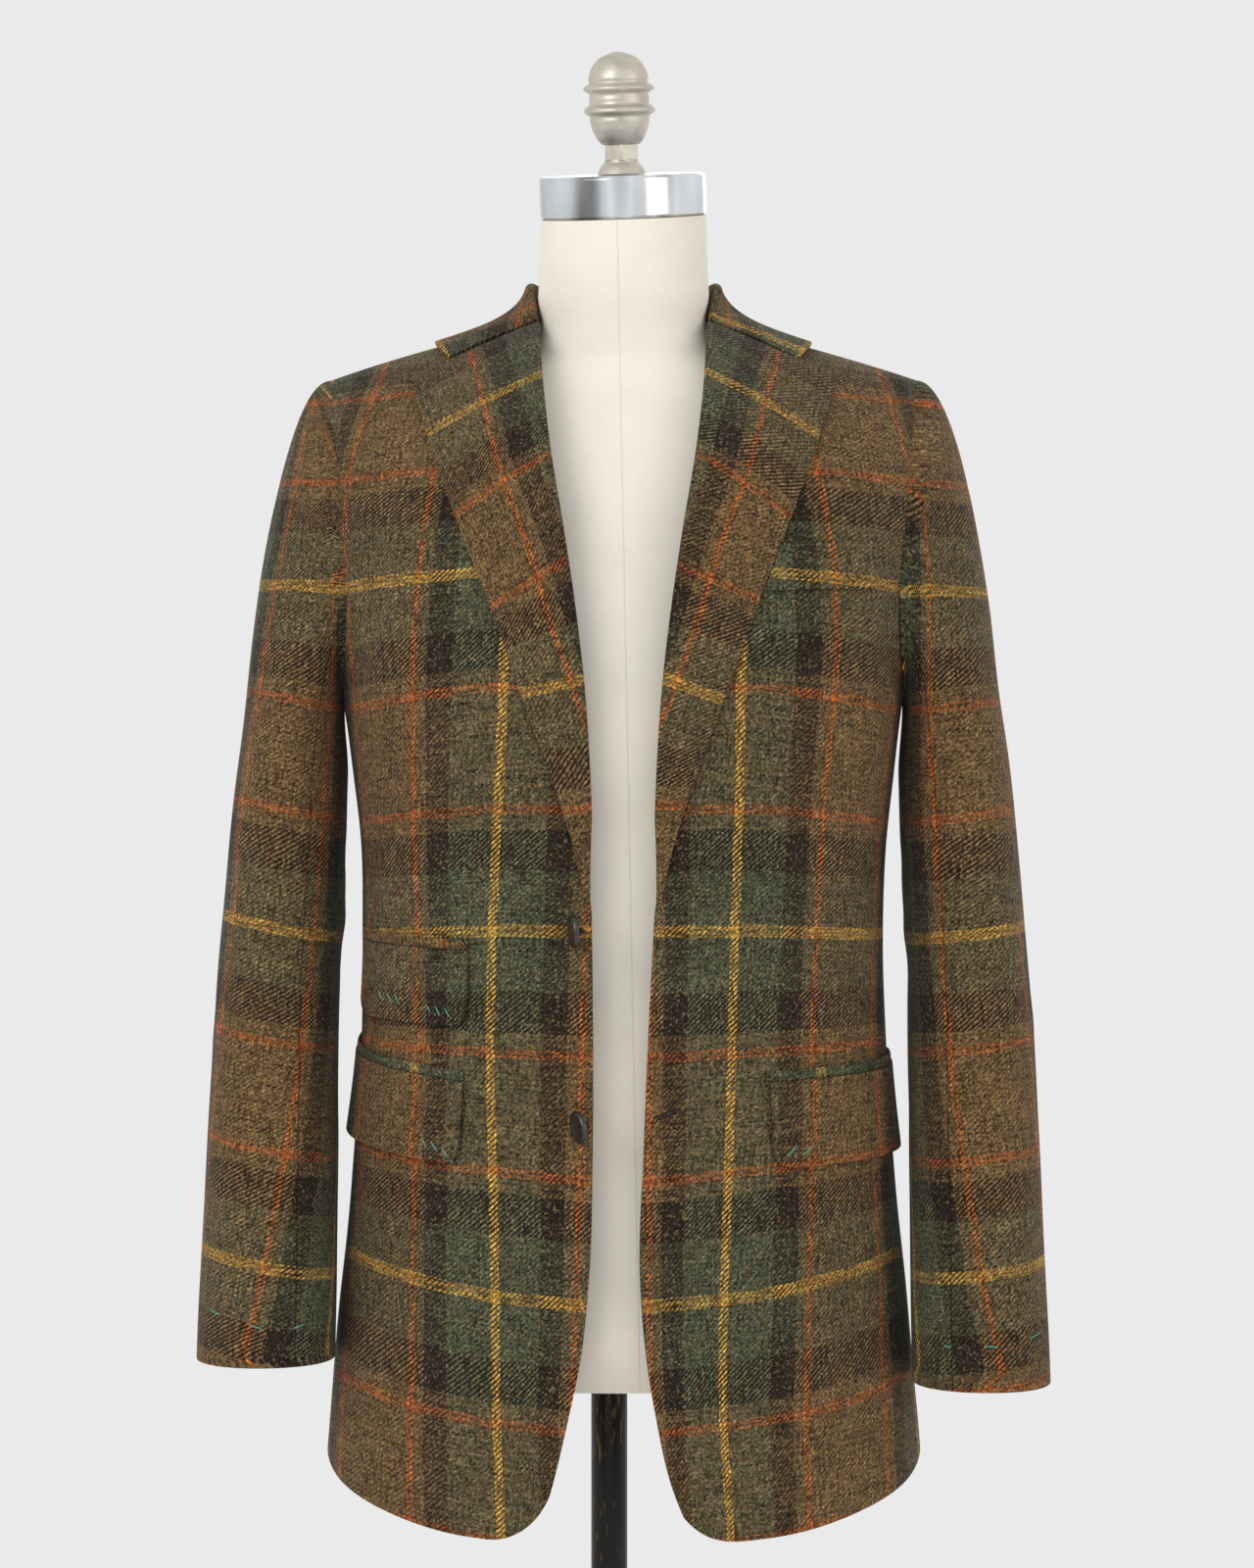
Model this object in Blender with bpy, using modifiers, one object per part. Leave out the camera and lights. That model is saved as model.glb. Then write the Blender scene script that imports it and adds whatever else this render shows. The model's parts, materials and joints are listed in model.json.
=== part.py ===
"""A tweed hacking jacket hanging open on its limbless dress form, at its real size.

The jacket is cut as a tailor cuts it: two fronts, side bodies and backs, two-piece sleeves,
lapels turned over at the roll line, a collar, flapped pockets and two horn buttons. The body
panels share one surface, which two numbers name: the turn round the body, 0 at the centre
front, 1 at the side and 2 at the centre back, and the rise, the height of a point once the
curve of the shoulder is laid out flat. The form is a padded torso with a metal neck cap and
finial, on a pole and a round base.

Metres, +Z up. The origin is the middle of the base's underside, and the front faces -Y.
Sides are the wearer's: the wearer's right is at -X.
"""

import math

import bmesh
import bpy
import numpy as np
from mathutils import Matrix, Vector

# --- Driving dimensions -------------------------------------------------------------------

CLOTH = 0.002               # tweed wall, with its canvas
TRIM_CLOTH = 0.0015         # pocket jettings
SEAM_GAP = 0.0007           # between two panels along a seam
LAID_ON = 0.0008            # between a panel and what lies on it
TURN_METRES = 0.25          # cloth in one turn of the body, about
GAP_TURN = SEAM_GAP / 2 / TURN_METRES       # half a seam gap, as a turn

# How many faces each panel has across and up.
GRID = {
    "front": (10, 20),
    "side": (5, 9),
    "back": (10, 16),
    "lapel": (11, 12),
    "collar": (12, 22),
    "sleeve_top": (11, 14),
    "sleeve_under": (6, 14),
    "jetting": (9, 1),
    "flap": (10, 3),
    "welt": (8, 2),
}

SQUARENESS = 2.4            # power of the body's rounded outline, 2 is an ellipse
DEPTH_SHARE = 0.7           # depth over width of the outline that spaces the turn
CROWN = 0.13                # radius over which a panel curves in to the shoulder line
SHOULDER_Y = 0.012          # the shoulder line lies a little behind the side line
CROWN_EXTRA = CROWN * (math.pi / 2 - 1)     # cloth length that the curve adds to its height

SHOULDER_TIP_X = 0.197
SHOULDER_TOP = 1.465        # height of the shoulder line where it starts, at SHOULDER_START_X
SHOULDER_START_X = 0.06
SHOULDER_SLOPE = 0.22
SHOULDER_BEND = 0.4

# Body outline by height: half width, and depth to the front and to the back.
BODY_COLUMNS = ("height", "half_width", "front", "back")
BODY = (
    (0.66, 0.1980, 0.139, 0.150),
    (0.74, 0.1938, 0.136, 0.144),
    (0.82, 0.1868, 0.132, 0.136),
    (0.90, 0.1790, 0.128, 0.125),
    (0.98, 0.1730, 0.126, 0.114),
    (1.06, 0.1710, 0.127, 0.107),
    (1.12, 0.1727, 0.131, 0.109),
    (1.17, 0.1785, 0.136, 0.113),
    (1.23, 0.1865, 0.141, 0.121),
    (1.30, 0.1960, 0.140, 0.129),
    (1.38, 0.2030, 0.127, 0.130),
    (1.48, 0.2065, 0.102, 0.106),
)

# Front edge below the lapels: distance from the centre on the wearer's right and left.
EDGE_COLUMNS = ("height", "right", "left")
FRONT_EDGE = (
    (0.68, 0.0560, 0.0460),
    (0.72, 0.0440, 0.0297),
    (0.76, 0.0345, 0.0205),
    (0.80, 0.0263, 0.0140),
    (0.85, 0.0212, 0.0100),
    (0.93, 0.0190, 0.0125),
    (1.03, 0.0190, 0.0168),
    (1.085, 0.0198, 0.0198),
)
CORNER_HEIGHT = 0.695       # where the front edge ends and the rounded quarter's hem begins
QUARTER_LEVEL_X = {"right": 0.086, "left": 0.075}       # where that hem has come down level
QUARTER_RISE = {"right": 0.059, "left": 0.040}
QUARTER_RUN = 0.045

# Hem height by turn: lowest at the front, rising to the back.
HEM_COLUMNS = ("turn", "height")
HEM = (
    (0.20, 0.6825),
    (0.42, 0.6880),
    (0.60, 0.6980),
    (0.75, 0.7085),
    (0.88, 0.7185),
    (1.00, 0.7255),
    (1.20, 0.7355),
    (1.60, 0.7450),
    (2.00, 0.7470),
)

# Lapel by height: the roll line, where it folds over, and its outer edge.
LAPEL_COLUMNS = ("height", "roll", "edge")
LAPEL = (
    (1.075, 0.0200, 0.0212),
    (1.12, 0.0219, 0.0305),
    (1.17, 0.0240, 0.0465),
    (1.22, 0.0275, 0.0645),
    (1.27, 0.0332, 0.0820),
    (1.32, 0.0405, 0.1015),
    (1.37, 0.0485, 0.1200),
    (1.425, 0.0545, 0.1360),
    (1.460, 0.0565, 0.1360),
)
BREAK_HEIGHT = 1.085        # where the lapel starts to turn over
BREAK_SHARE = 0.50          # of a front's rows, below that
GORGE_SHARE = 0.94          # and below the gorge
LAPEL_FOLD_SHARE = 0.36     # of a lapel's columns, in the bend
GORGE_START = (0.0565, 1.4600)      # the gorge seam, from the roll line
NOTCH = (0.1130, 1.4325)            # to the notch
LAPEL_TIP = (0.1358, 1.4240)        # and the lapel's own edge on to its tip
LAPEL_TIP_SHARE = 0.72              # the gorge's part of the lapel's top
ROLL_RADIUS = 0.0016                # bend at the bottom of the roll line
ROLL_SWELL = 0.0010                 # and how much larger it is half way up
LAPEL_BELLY = 0.0030
LAPEL_EDGE_LIFT = 0.0034

# Neckline and collar, from the gorge seam to the centre back. An angle goes round the crown of
# the shoulder: below 0 in front of the shoulder line, above 0 behind it.
COLLAR_COLUMNS = ("way", "neck_x", "neck_angle", "stand", "edge_x", "edge_angle")
COLLAR = (
    (0.00, 0.0565, -0.299, 0.0010, 0.1130, -0.553),
    (0.12, 0.0590, -0.220, 0.0090, 0.1225, -0.260),
    (0.34, 0.0630, 0.000, 0.0235, 0.1130, 0.020),
    (0.55, 0.0545, 0.300, 0.0280, 0.0950, 0.420),
    (0.78, 0.0300, 0.530, 0.0300, 0.0550, 0.730),
    (1.00, 0.0000, 0.608, 0.0305, 0.0000, 0.830),
)
STAND_CLEAR = 0.0019        # the stand starts this far above the neck seam
STAND_LEAN = 0.0025         # and leans in towards the neck
COLLAR_FOLD_RADIUS = 0.0021
STAND_SHARE = 0.25          # of the collar's columns, in the stand
STAND_AND_FOLD_SHARE = 0.50
LEAF_LIFT = 0.0044
LEAF_BEND = (0.0075, 0.0040)        # the leaf bends this far out and up from the neck seam
NECK_POINT = 0.34           # the way along the neckline where it crosses the shoulder line

# Armhole: reach either side of the side line, in turns, and its heights.
ARM_TIP_REACH = 0.20
ARM_FRONT_REACH = 0.27
ARM_BACK_REACH = 0.25
ARM_MIDDLE = 1.31
ARM_BOTTOM = 1.215

SIDE_FRONT_TURN = 0.96      # seam between front and side body
SIDE_BACK_TURN = 1.38       # seam between side body and back, at the hem
SIDE_BACK_ARM = 0.86        # where that seam meets the armhole, as a share of its back reach
SIDE_ARM_FRONT_SHARE = 0.18         # of a side body's top edge, in front of the side line
BACK_NECK_SHARE = 0.3               # of a back's top edge, along the neck

# Sleeve by height: outer and inner side, middle and half depth.
SLEEVE_COLUMNS = ("height", "outer", "inner", "middle", "half_depth")
SLEEVE = (
    (1.165, 0.2553, 0.1840, 0.000, 0.068),
    (1.10, 0.2617, 0.1857, -0.002, 0.068),
    (1.03, 0.2670, 0.1890, -0.008, 0.066),
    (0.95, 0.2707, 0.1888, -0.022, 0.062),
    (0.87, 0.2728, 0.1878, -0.042, 0.057),
    (0.77, 0.2748, 0.1874, -0.067, 0.053),
)
SLEEVE_SQUARENESS = 2.2
CUFF_HEIGHT = {"right": 0.790, "left": 0.775}
UNDER_SLEEVE = (math.radians(118), math.radians(248))    # the inner stretch that it covers
SLEEVE_GAP = SEAM_GAP / 0.06                             # half the gap beside it, as an angle
SLEEVE_HEAD_SHARE = 0.45                                 # of a sleeve's rows, above the arm pit
SLEEVE_LEAVE = 0.34         # how far the sleeve head runs straight out from the armhole
SLEEVE_ARRIVE = 1.15        # and straight down into the arm, over the distance between
SEAT_GAP_TOP = 1.5          # gap at the armhole, in seam gaps, at the shoulder
SEAT_GAP_MORE = 2.0         # and how many more under the arm

# Pockets: wearer's side, front and rear ends with their heights, the flap's depth, and how far
# its lower rear corner leans out.
POCKET_COLUMNS = ("name", "side", "front_x", "front_height", "rear_turn", "rear_height",
                  "depth", "lean")
POCKETS = (
    ("ticket", "right", 0.0975, 1.0610, 0.820, 1.0655, 0.048, 0.000),
    ("hip", "right", 0.1005, 0.9780, 1.050, 0.9950, 0.053, 0.0025),
    ("hip", "left", 0.0920, 0.9780, 1.050, 0.9845, 0.055, 0.0015),
)
JETTING = 0.0065
FLAP_CORNER = 0.013
FLAP_STANDS = (0.0008, 0.0012)      # off the jetting at its top, and more at its free edge
WELT_REAR_X = 0.1600
WELT_TOP = 1.3115
WELT_SLOPE = 0.0030
WELT_DEPTH = 0.030

# Buttons: name, height, distance from the centre on the wearer's right, and degrees that each is
# turned to the wearer's right and that its top leans the same way.
BUTTON_COLUMNS = ("name", "height", "from_centre", "degrees", "lean")
BUTTONS = (
    ("button_upper", 1.0679, 0.0309, 77.0, 5.0),
    ("button_lower", 0.9446, 0.0277, 67.0, 12.0),
)
BUTTON_RADIUS = 0.0108
BUTTON_THICK = 0.0040
BUTTON_DISH = 0.0010        # depth of the hollow inside the rim
BUTTON_RIM = 0.0018
BUTTON_STAND = 0.0125       # from the panel to the middle of the button
BUTTON_HOLE_RADIUS = 0.0010
BUTTON_HOLE_SPREAD = 0.0021         # of a hole from the middle, each way
SHANK_RADIUS = 0.0014
SHANK_LENGTH = 0.0060

# Dress form by height: half width, depth to the front and back, and forward tilt in degrees.
FORM_COLUMNS = ("height", "half_width", "front", "back", "tilt")
FORM = (
    (0.772, 0.1560, 0.1020, 0.1040, 0.0),
    (0.785, 0.1610, 0.1080, 0.1100, 0.0),
    (0.86, 0.1630, 0.1100, 0.1120, 0.0),
    (0.95, 0.1560, 0.1080, 0.1020, 0.0),
    (1.04, 0.1500, 0.1060, 0.0900, 0.0),
    (1.12, 0.1540, 0.1120, 0.0920, 0.0),
    (1.20, 0.1640, 0.1220, 0.1010, 0.0),
    (1.28, 0.1700, 0.1210, 0.1090, 0.0),
    (1.34, 0.1690, 0.1090, 0.1110, 0.0),
    (1.385, 0.1640, 0.0890, 0.1020, 0.0),
    (1.412, 0.1540, 0.0700, 0.0880, 0.0),
    (1.428, 0.1150, 0.0580, 0.0730, 0.0),
    (1.438, 0.0800, 0.0520, 0.0610, 1.0),
    (1.452, 0.0600, 0.0530, 0.0530, 3.0),
    (1.485, 0.0565, 0.0600, 0.0480, 7.0),
    (1.534, 0.0545, 0.0680, 0.0410, 10.0),
)
FORM_SQUARENESS = 2.15
FORM_SIDES = 32

# Where the form's rings stand: from one height up to the next, in so many steps.
FORM_RING_COLUMNS = ("from_height", "to_height", "steps")
FORM_RINGS = (
    (0.785, 1.370, 12),
    (1.370, 1.452, 9),
    (1.452, 1.534, 4),
)
SOCKET_FOOT = 0.70          # the cutter for the pole's socket starts below the form

NECK_TILT = math.radians(10.0)      # the neck leans forward
NECK_ROLL = math.radians(-2.0)      # and slightly to the wearer's right
NECK_TOP = Vector((0.0, -0.0135, 1.534))
CAP_RADIUS = 0.0548
CAP_HEIGHT = 0.0275
CAP_EDGE = 0.0016
PART_GAP = 0.0003           # between two pieces that touch

# Finial profile from its foot up: height over the cap, radius.
FINIAL_COLUMNS = ("height", "radius")
FINIAL = (
    (0.0000, 0.0165),
    (0.0050, 0.0140),
    (0.0090, 0.0110),
    (0.0110, 0.0116),
    (0.0190, 0.0118),
    (0.0205, 0.0135),
    (0.0275, 0.0178),
    (0.0345, 0.0199),
    (0.0385, 0.0206),
    (0.0400, 0.0230),
    (0.0430, 0.0230),
    (0.0450, 0.0206),
    (0.0490, 0.0200),
    (0.0530, 0.0206),
    (0.0545, 0.0230),
    (0.0570, 0.0230),
    (0.0585, 0.0204),
    (0.0625, 0.0200),
    (0.0680, 0.0184),
    (0.0730, 0.0150),
    (0.0765, 0.0105),
    (0.0787, 0.0050),
)

POLE_RADIUS = 0.012
FORM_X = 0.0095             # the form stands a little to the wearer's left of its pole
FORM_Y = -0.005
POLE_FOOT = 0.012
POLE_TOP = 0.960
SOCKET_TOP = 0.990
BASE_RADIUS = 0.190

# Base profile from the pole's collar down and out: height, radius.
BASE_COLUMNS = ("height", "radius")
BASE = (
    (0.0780, 0.0160),
    (0.0800, 0.0180),
    (0.0780, 0.0200),
    (0.0480, 0.0210),
    (0.0380, 0.0270),
    (0.0300, 0.0480),
    (0.0230, 0.0950),
    (0.0170, 0.1500),
    (0.0130, 0.1800),
    (0.0080, 0.1890),
    (0.0000, 0.1900),
)

ROUND_STEPS = 32

# --- Colours: red, green, blue, roughness, metallic ---------------------------------------

FINISHES = {
    "tweed": (0.105, 0.075, 0.040, 0.95, 0.0),
    "horn": (0.030, 0.020, 0.012, 0.35, 0.0),
    "form_cloth": (0.86, 0.80, 0.68, 0.85, 0.0),
    "polished_steel": (0.62, 0.64, 0.66, 0.18, 1.0),
    "cast_nickel": (0.45, 0.43, 0.39, 0.42, 1.0),
    "black_enamel": (0.015, 0.013, 0.011, 0.40, 0.0),
}


# --- Curves through the tables ------------------------------------------------------------

def curve(table, columns, name, key=0):
    """A smooth function of a table's key column that runs through one of its other columns."""
    rows = sorted(table, key=lambda row: row[key])
    column = columns.index(name)
    keys = np.array([row[key] for row in rows])
    values = np.array([row[column] for row in rows])
    slopes = np.gradient(values, keys)

    def at(place):
        place = min(max(place, keys[0]), keys[-1])
        row = min(int(np.searchsorted(keys, place, side="right")) - 1, len(keys) - 2)
        step = keys[row + 1] - keys[row]
        way = (place - keys[row]) / step
        return float(hermite(values[row], values[row + 1], slopes[row] * step,
                             slopes[row + 1] * step, way))

    return at


def hermite(start, end, leave, arrive, way):
    """The cubic from start to end with the given slopes, for numbers or vectors."""
    square = way * way
    cube = square * way
    return (start * (2 * cube - 3 * square + 1) + leave * (cube - 2 * square + way)
            + end * (3 * square - 2 * cube) + arrive * (cube - square))


def blend(start, end, way):
    """The value a share of the way from start to end."""
    return start + (end - start) * way


half_width = curve(BODY, BODY_COLUMNS, "half_width")
front_depth = curve(BODY, BODY_COLUMNS, "front")
back_depth = curve(BODY, BODY_COLUMNS, "back")
hem_height = curve(HEM, HEM_COLUMNS, "height")
roll_x = curve(LAPEL, LAPEL_COLUMNS, "roll")
lapel_edge_x = curve(LAPEL, LAPEL_COLUMNS, "edge")
FRONT_EDGE_X = {side: curve(FRONT_EDGE, EDGE_COLUMNS, side) for side in ("right", "left")}
COLLAR_AT = {name: curve(COLLAR, COLLAR_COLUMNS, name) for name in COLLAR_COLUMNS[1:]}
SLEEVE_AT = {name: curve(SLEEVE, SLEEVE_COLUMNS, name) for name in SLEEVE_COLUMNS[1:]}
FORM_AT = {name: curve(FORM, FORM_COLUMNS, name) for name in FORM_COLUMNS[1:]}

SIGN = {"right": -1.0, "left": 1.0}


# --- The body's surface -------------------------------------------------------------------

def quarter_outline():
    """A quarter of the body's outline: its turns, and their reach across and forwards."""
    angles = np.linspace(0.0, math.pi / 2, 65)
    across = np.sin(angles) ** (2 / SQUARENESS)
    forwards = np.cos(angles) ** (2 / SQUARENESS)
    steps = np.hypot(np.diff(across), DEPTH_SHARE * np.diff(forwards))
    turns = np.concatenate(([0.0], np.cumsum(steps)))
    return turns / turns[-1], across, forwards


OUTLINE_TURNS, OUTLINE_ACROSS, OUTLINE_FORWARDS = quarter_outline()


def shoulder_height(x):
    """Height of the shoulder line at a distance from the centre."""
    out = abs(x) - SHOULDER_START_X
    return SHOULDER_TOP - SHOULDER_SLOPE * out - SHOULDER_BEND * out * out


def turn_at(x, height):
    """The turn on the front at a distance from the centre."""
    return float(np.interp(x / half_width(height), OUTLINE_ACROSS, OUTLINE_TURNS))


def rise_at(x, height):
    """The rise of a point at a distance from the centre and a height."""
    drop = max(shoulder_height(x) - height, 0.0)
    if drop >= CROWN:
        return height
    return shoulder_height(x) + CROWN_EXTRA - CROWN * math.acos(1 - drop / CROWN)


def front_place(x, height):
    """Turn and rise on the front of a point given by its distance out and its height."""
    return turn_at(x, height), rise_at(x, height)


def crown_place(x, angle):
    """Turn and rise of a point on the crown of the shoulder, at an angle from its line."""
    height = shoulder_height(x) - CROWN * (1 - math.cos(angle))
    turn = turn_at(x, height)
    rise = shoulder_height(x) + CROWN_EXTRA - CROWN * abs(angle)
    return (2 - turn if angle > 0 else turn), rise


def bare_point(side, turn, rise):
    """A point of the body's surface."""
    folded = 2 - turn if turn > 1 else turn
    across = np.interp(folded, OUTLINE_TURNS, OUTLINE_ACROSS)
    forwards = np.interp(folded, OUTLINE_TURNS, OUTLINE_FORWARDS)
    x = across * half_width(rise)
    for _ in range(3):
        length = max(shoulder_height(x) + CROWN_EXTRA - rise, 0.0)
        if length < CROWN * math.pi / 2:
            drop = CROWN * (1 - math.cos(length / CROWN))
            outward = math.sin(length / CROWN)
        else:
            drop = length - CROWN_EXTRA
            outward = 1.0
        height = shoulder_height(x) - drop
        x = across * half_width(height)
    depth = back_depth(height) if turn > 1 else -front_depth(height)
    y = blend(SHOULDER_Y, depth * forwards, outward)
    return Vector((SIGN[side] * x, y, height))


def body_normal(side, turn, rise):
    """The outward direction of the body's surface."""
    step = 0.004
    round_it = bare_point(side, turn + step, rise) - bare_point(side, turn - step, rise)
    up_it = bare_point(side, turn, rise) - bare_point(side, turn, rise - step)
    return (round_it.cross(up_it) * SIGN[side]).normalized()


def body_point(side, turn, rise, lift=0.0):
    """A point moved out from the body's surface."""
    point = bare_point(side, turn, rise)
    if lift:
        point = point + body_normal(side, turn, rise) * lift
    return point


# --- Making objects -----------------------------------------------------------------------

def clear_scene():
    """Remove whatever the file holds."""
    for obj in list(bpy.data.objects):
        bpy.data.objects.remove(obj, do_unlink=True)


def make_collection(name):
    """A collection linked to the scene."""
    collection = bpy.data.collections.new(name)
    bpy.context.scene.collection.children.link(collection)
    return collection


def make_materials():
    """One Principled material for each finish."""
    materials = {}
    for name, (red, green, blue, roughness, metallic) in FINISHES.items():
        material = bpy.data.materials.new(name)
        material.use_nodes = True
        shader = material.node_tree.nodes["Principled BSDF"]
        shader.inputs["Base Color"].default_value = (red, green, blue, 1.0)
        shader.inputs["Roughness"].default_value = roughness
        shader.inputs["Metallic"].default_value = metallic
        material.diffuse_color = (red, green, blue, 1.0)
        materials[name] = material
    return materials


clear_scene()
PARTS = make_collection("hacking_jacket_on_form")
CUTTERS = make_collection("cutters")
MATERIALS = make_materials()
STANDPOINT = bpy.data.objects.new("standpoint", None)
PARTS.objects.link(STANDPOINT)
FORM_AXIS = bpy.data.objects.new("form_axis", None)
FORM_AXIS.location = (FORM_X, FORM_Y, 0.0)
FORM_AXIS.parent = STANDPOINT
PARTS.objects.link(FORM_AXIS)


def add_object(name, shape, finish, carrier=FORM_AXIS, collection=PARTS):
    """An object made of a bmesh, smooth, with its finish, carried by an empty."""
    mesh = bpy.data.meshes.new(name)
    shape.to_mesh(mesh)
    shape.free()
    mesh.materials.append(MATERIALS[finish])
    mesh.shade_smooth()
    obj = bpy.data.objects.new(name, mesh)
    obj.parent = carrier
    collection.objects.link(obj)
    return obj


def cloth_piece(name, panel, place, thickness=CLOTH):
    """A wall of cloth: a panel's grid whose points are moved to their places, then thickened."""
    columns, rows = GRID[panel]
    shape = bmesh.new()
    bmesh.ops.create_grid(shape, x_segments=columns, y_segments=rows, size=0.5)
    for vert in shape.verts:
        vert.co = place(vert.co.x + 0.5, vert.co.y + 0.5)
    obj = add_object(name, shape, "tweed")
    wall = obj.modifiers.new("Wall", "SOLIDIFY")
    wall.thickness = thickness
    wall.offset = 0.0
    wall.use_even_offset = True
    return obj


def turned_piece(name, profile, finish, carrier=FORM_AXIS):
    """A solid turned from a profile of radius and height that runs from its top down."""
    shape = bmesh.new()
    verts = [shape.verts.new((radius, 0.0, height)) for radius, height in profile]
    for upper, lower in zip(verts, verts[1:]):
        shape.edges.new((upper, lower))
    obj = add_object(name, shape, finish, carrier)
    screw = obj.modifiers.new("Turn", "SCREW")
    screw.steps = ROUND_STEPS
    screw.render_steps = ROUND_STEPS
    screw.use_merge_vertices = True
    screw.merge_threshold = 0.0001
    return obj


def cut(obj, cutter):
    """Cut one object out of another."""
    cutter.hide_render = True
    cutter.display_type = "WIRE"
    modifier = obj.modifiers.new("Cut " + cutter.name, "BOOLEAN")
    modifier.operation = "DIFFERENCE"
    modifier.solver = "EXACT"
    modifier.object = cutter


def rod_cutter(name, radius, low, high):
    """An upright round cutter."""
    shape = bmesh.new()
    bmesh.ops.create_cone(shape, cap_ends=True, segments=ROUND_STEPS, radius1=radius,
                          radius2=radius, depth=high - low)
    cutter = add_object(name, shape, "black_enamel", STANDPOINT, CUTTERS)
    cutter.location = (0.0, 0.0, (low + high) / 2)
    return cutter


# --- Body panels --------------------------------------------------------------------------

def patch(low_edge, high_edge, first_edge, last_edge):
    """A place in the (turn, rise) plane between four edges, each a function of 0 to 1."""
    def at(u, v):
        first, last = first_edge(v), last_edge(v)
        low, high = low_edge(u), high_edge(u)
        corners = (low_edge(0.0), low_edge(1.0), high_edge(0.0), high_edge(1.0))
        weights = ((1 - u) * (1 - v), u * (1 - v), (1 - u) * v, u * v)
        place = []
        for axis in (0, 1):
            ruled = ((1 - u) * first[axis] + u * last[axis]
                     + (1 - v) * low[axis] + v * high[axis])
            shared = sum(corner[axis] * weight for corner, weight in zip(corners, weights))
            place.append(ruled - shared)
        return place
    return at


def armhole(way, back):
    """Turn and rise on the armhole, from the shoulder tip at 0 to under the arm at 1."""
    reach = ARM_BACK_REACH if back else ARM_FRONT_REACH
    tip_rise = rise_at(SHOULDER_TIP_X, shoulder_height(SHOULDER_TIP_X))
    if way < 0.5:
        share = way / 0.5
        rise = blend(tip_rise, ARM_MIDDLE, share)
        out = blend(ARM_TIP_REACH, reach, math.sin(share * math.pi / 2))
    else:
        angle = (way - 0.5) * math.pi
        rise = ARM_MIDDLE - (ARM_MIDDLE - ARM_BOTTOM) * math.sin(angle)
        out = reach * math.cos(angle)
    return (1 + out if back else 1 - out), rise


def armhole_way(out, reach):
    """How far down the lower armhole its reach from the side line has shrunk to a value."""
    return 0.5 + math.acos(out / reach) / math.pi


FRONT_SEAM_WAY = armhole_way(1 - SIDE_FRONT_TURN, ARM_FRONT_REACH)
BACK_SEAM_WAY = armhole_way(ARM_BACK_REACH * SIDE_BACK_ARM, ARM_BACK_REACH)
SIDE_SHARE = 0.55           # of a front's rows, below the armhole


def neckline(way):
    """Turn and rise of the neck seam, from the gorge at 0 to the centre back at 1."""
    return crown_place(COLLAR_AT["neck_x"](way), COLLAR_AT["neck_angle"](way))


def quarter_hem(side, turn):
    """Height of the hem, with the front's rounded corner."""
    height = hem_height(turn)
    x = bare_point(side, turn, height).x * SIGN[side]
    short = (QUARTER_LEVEL_X[side] - x) / QUARTER_RUN
    if short > 0:
        height += QUARTER_RISE[side] * (1 - math.sqrt(max(1 - short * short, 0.0)))
    return height


def make_front(side):
    """A front, from its edge and the roll line to the side seam, armhole and shoulder."""
    edge_x = FRONT_EDGE_X[side]
    corner = (turn_at(edge_x(CORNER_HEIGHT), CORNER_HEIGHT), CORNER_HEIGHT)
    seam = SIDE_FRONT_TURN - GAP_TURN

    def front_edge(v):
        if v < BREAK_SHARE:
            height = blend(CORNER_HEIGHT, BREAK_HEIGHT, v / BREAK_SHARE)
            return front_place(edge_x(height) + SEAM_GAP, height)
        if v < GORGE_SHARE:
            height = blend(BREAK_HEIGHT, GORGE_START[1],
                           (v - BREAK_SHARE) / (GORGE_SHARE - BREAK_SHARE))
            return front_place(roll_x(height) + SEAM_GAP, height)
        turn, rise = neckline(NECK_POINT * (v - GORGE_SHARE) / (1 - GORGE_SHARE))
        return turn + GAP_TURN, rise

    def side_edge(v):
        if v < SIDE_SHARE:
            start = quarter_hem(side, seam)
            return seam, blend(start, armhole(FRONT_SEAM_WAY, False)[1], v / SIDE_SHARE)
        way = FRONT_SEAM_WAY * (1 - (v - SIDE_SHARE) / (1 - SIDE_SHARE))
        turn, rise = armhole(way, False)
        return turn - GAP_TURN * way ** 4, rise - SEAM_GAP * (1 - way) ** 4

    def hem(u):
        turn = blend(corner[0], seam, u ** 1.3)
        return turn, (CORNER_HEIGHT if u == 0 else quarter_hem(side, turn))

    def shoulder(u):
        x = blend(COLLAR_AT["neck_x"](NECK_POINT), SHOULDER_TIP_X, u)
        turn, rise = crown_place(x, -0.0001)
        return turn, rise - SEAM_GAP

    place = patch(hem, shoulder, front_edge, side_edge)
    return cloth_piece("front_" + side, "front", lambda u, v: body_point(side, *place(u, v)))


def make_side(side):
    """A side body, between the front and back seams, from the hem to under the arm."""
    first_turn = SIDE_FRONT_TURN + GAP_TURN
    last_turn = SIDE_BACK_TURN - GAP_TURN

    def front_seam(v):
        return first_turn, blend(hem_height(first_turn), armhole(FRONT_SEAM_WAY, False)[1], v)

    def back_seam(v):
        top_turn, top_rise = armhole(BACK_SEAM_WAY, True)
        rise = blend(hem_height(SIDE_BACK_TURN), top_rise, v)
        return back_seam_turn(v, top_turn) - GAP_TURN, rise

    def hem(u):
        turn = blend(first_turn, last_turn, u)
        return turn, hem_height(turn)

    def arm(u):
        share = (u - SIDE_ARM_FRONT_SHARE) / (1 - SIDE_ARM_FRONT_SHARE)
        if share < 0:
            way = blend(FRONT_SEAM_WAY, 1.0, u / SIDE_ARM_FRONT_SHARE)
            turn, rise = armhole(way, False)
            return max(turn, first_turn), rise
        turn, rise = armhole(blend(1.0, BACK_SEAM_WAY, share), True)
        return turn - GAP_TURN * share, rise

    place = patch(hem, arm, front_seam, back_seam)
    return cloth_piece("side_" + side, "side", lambda u, v: body_point(side, *place(u, v)))


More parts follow.
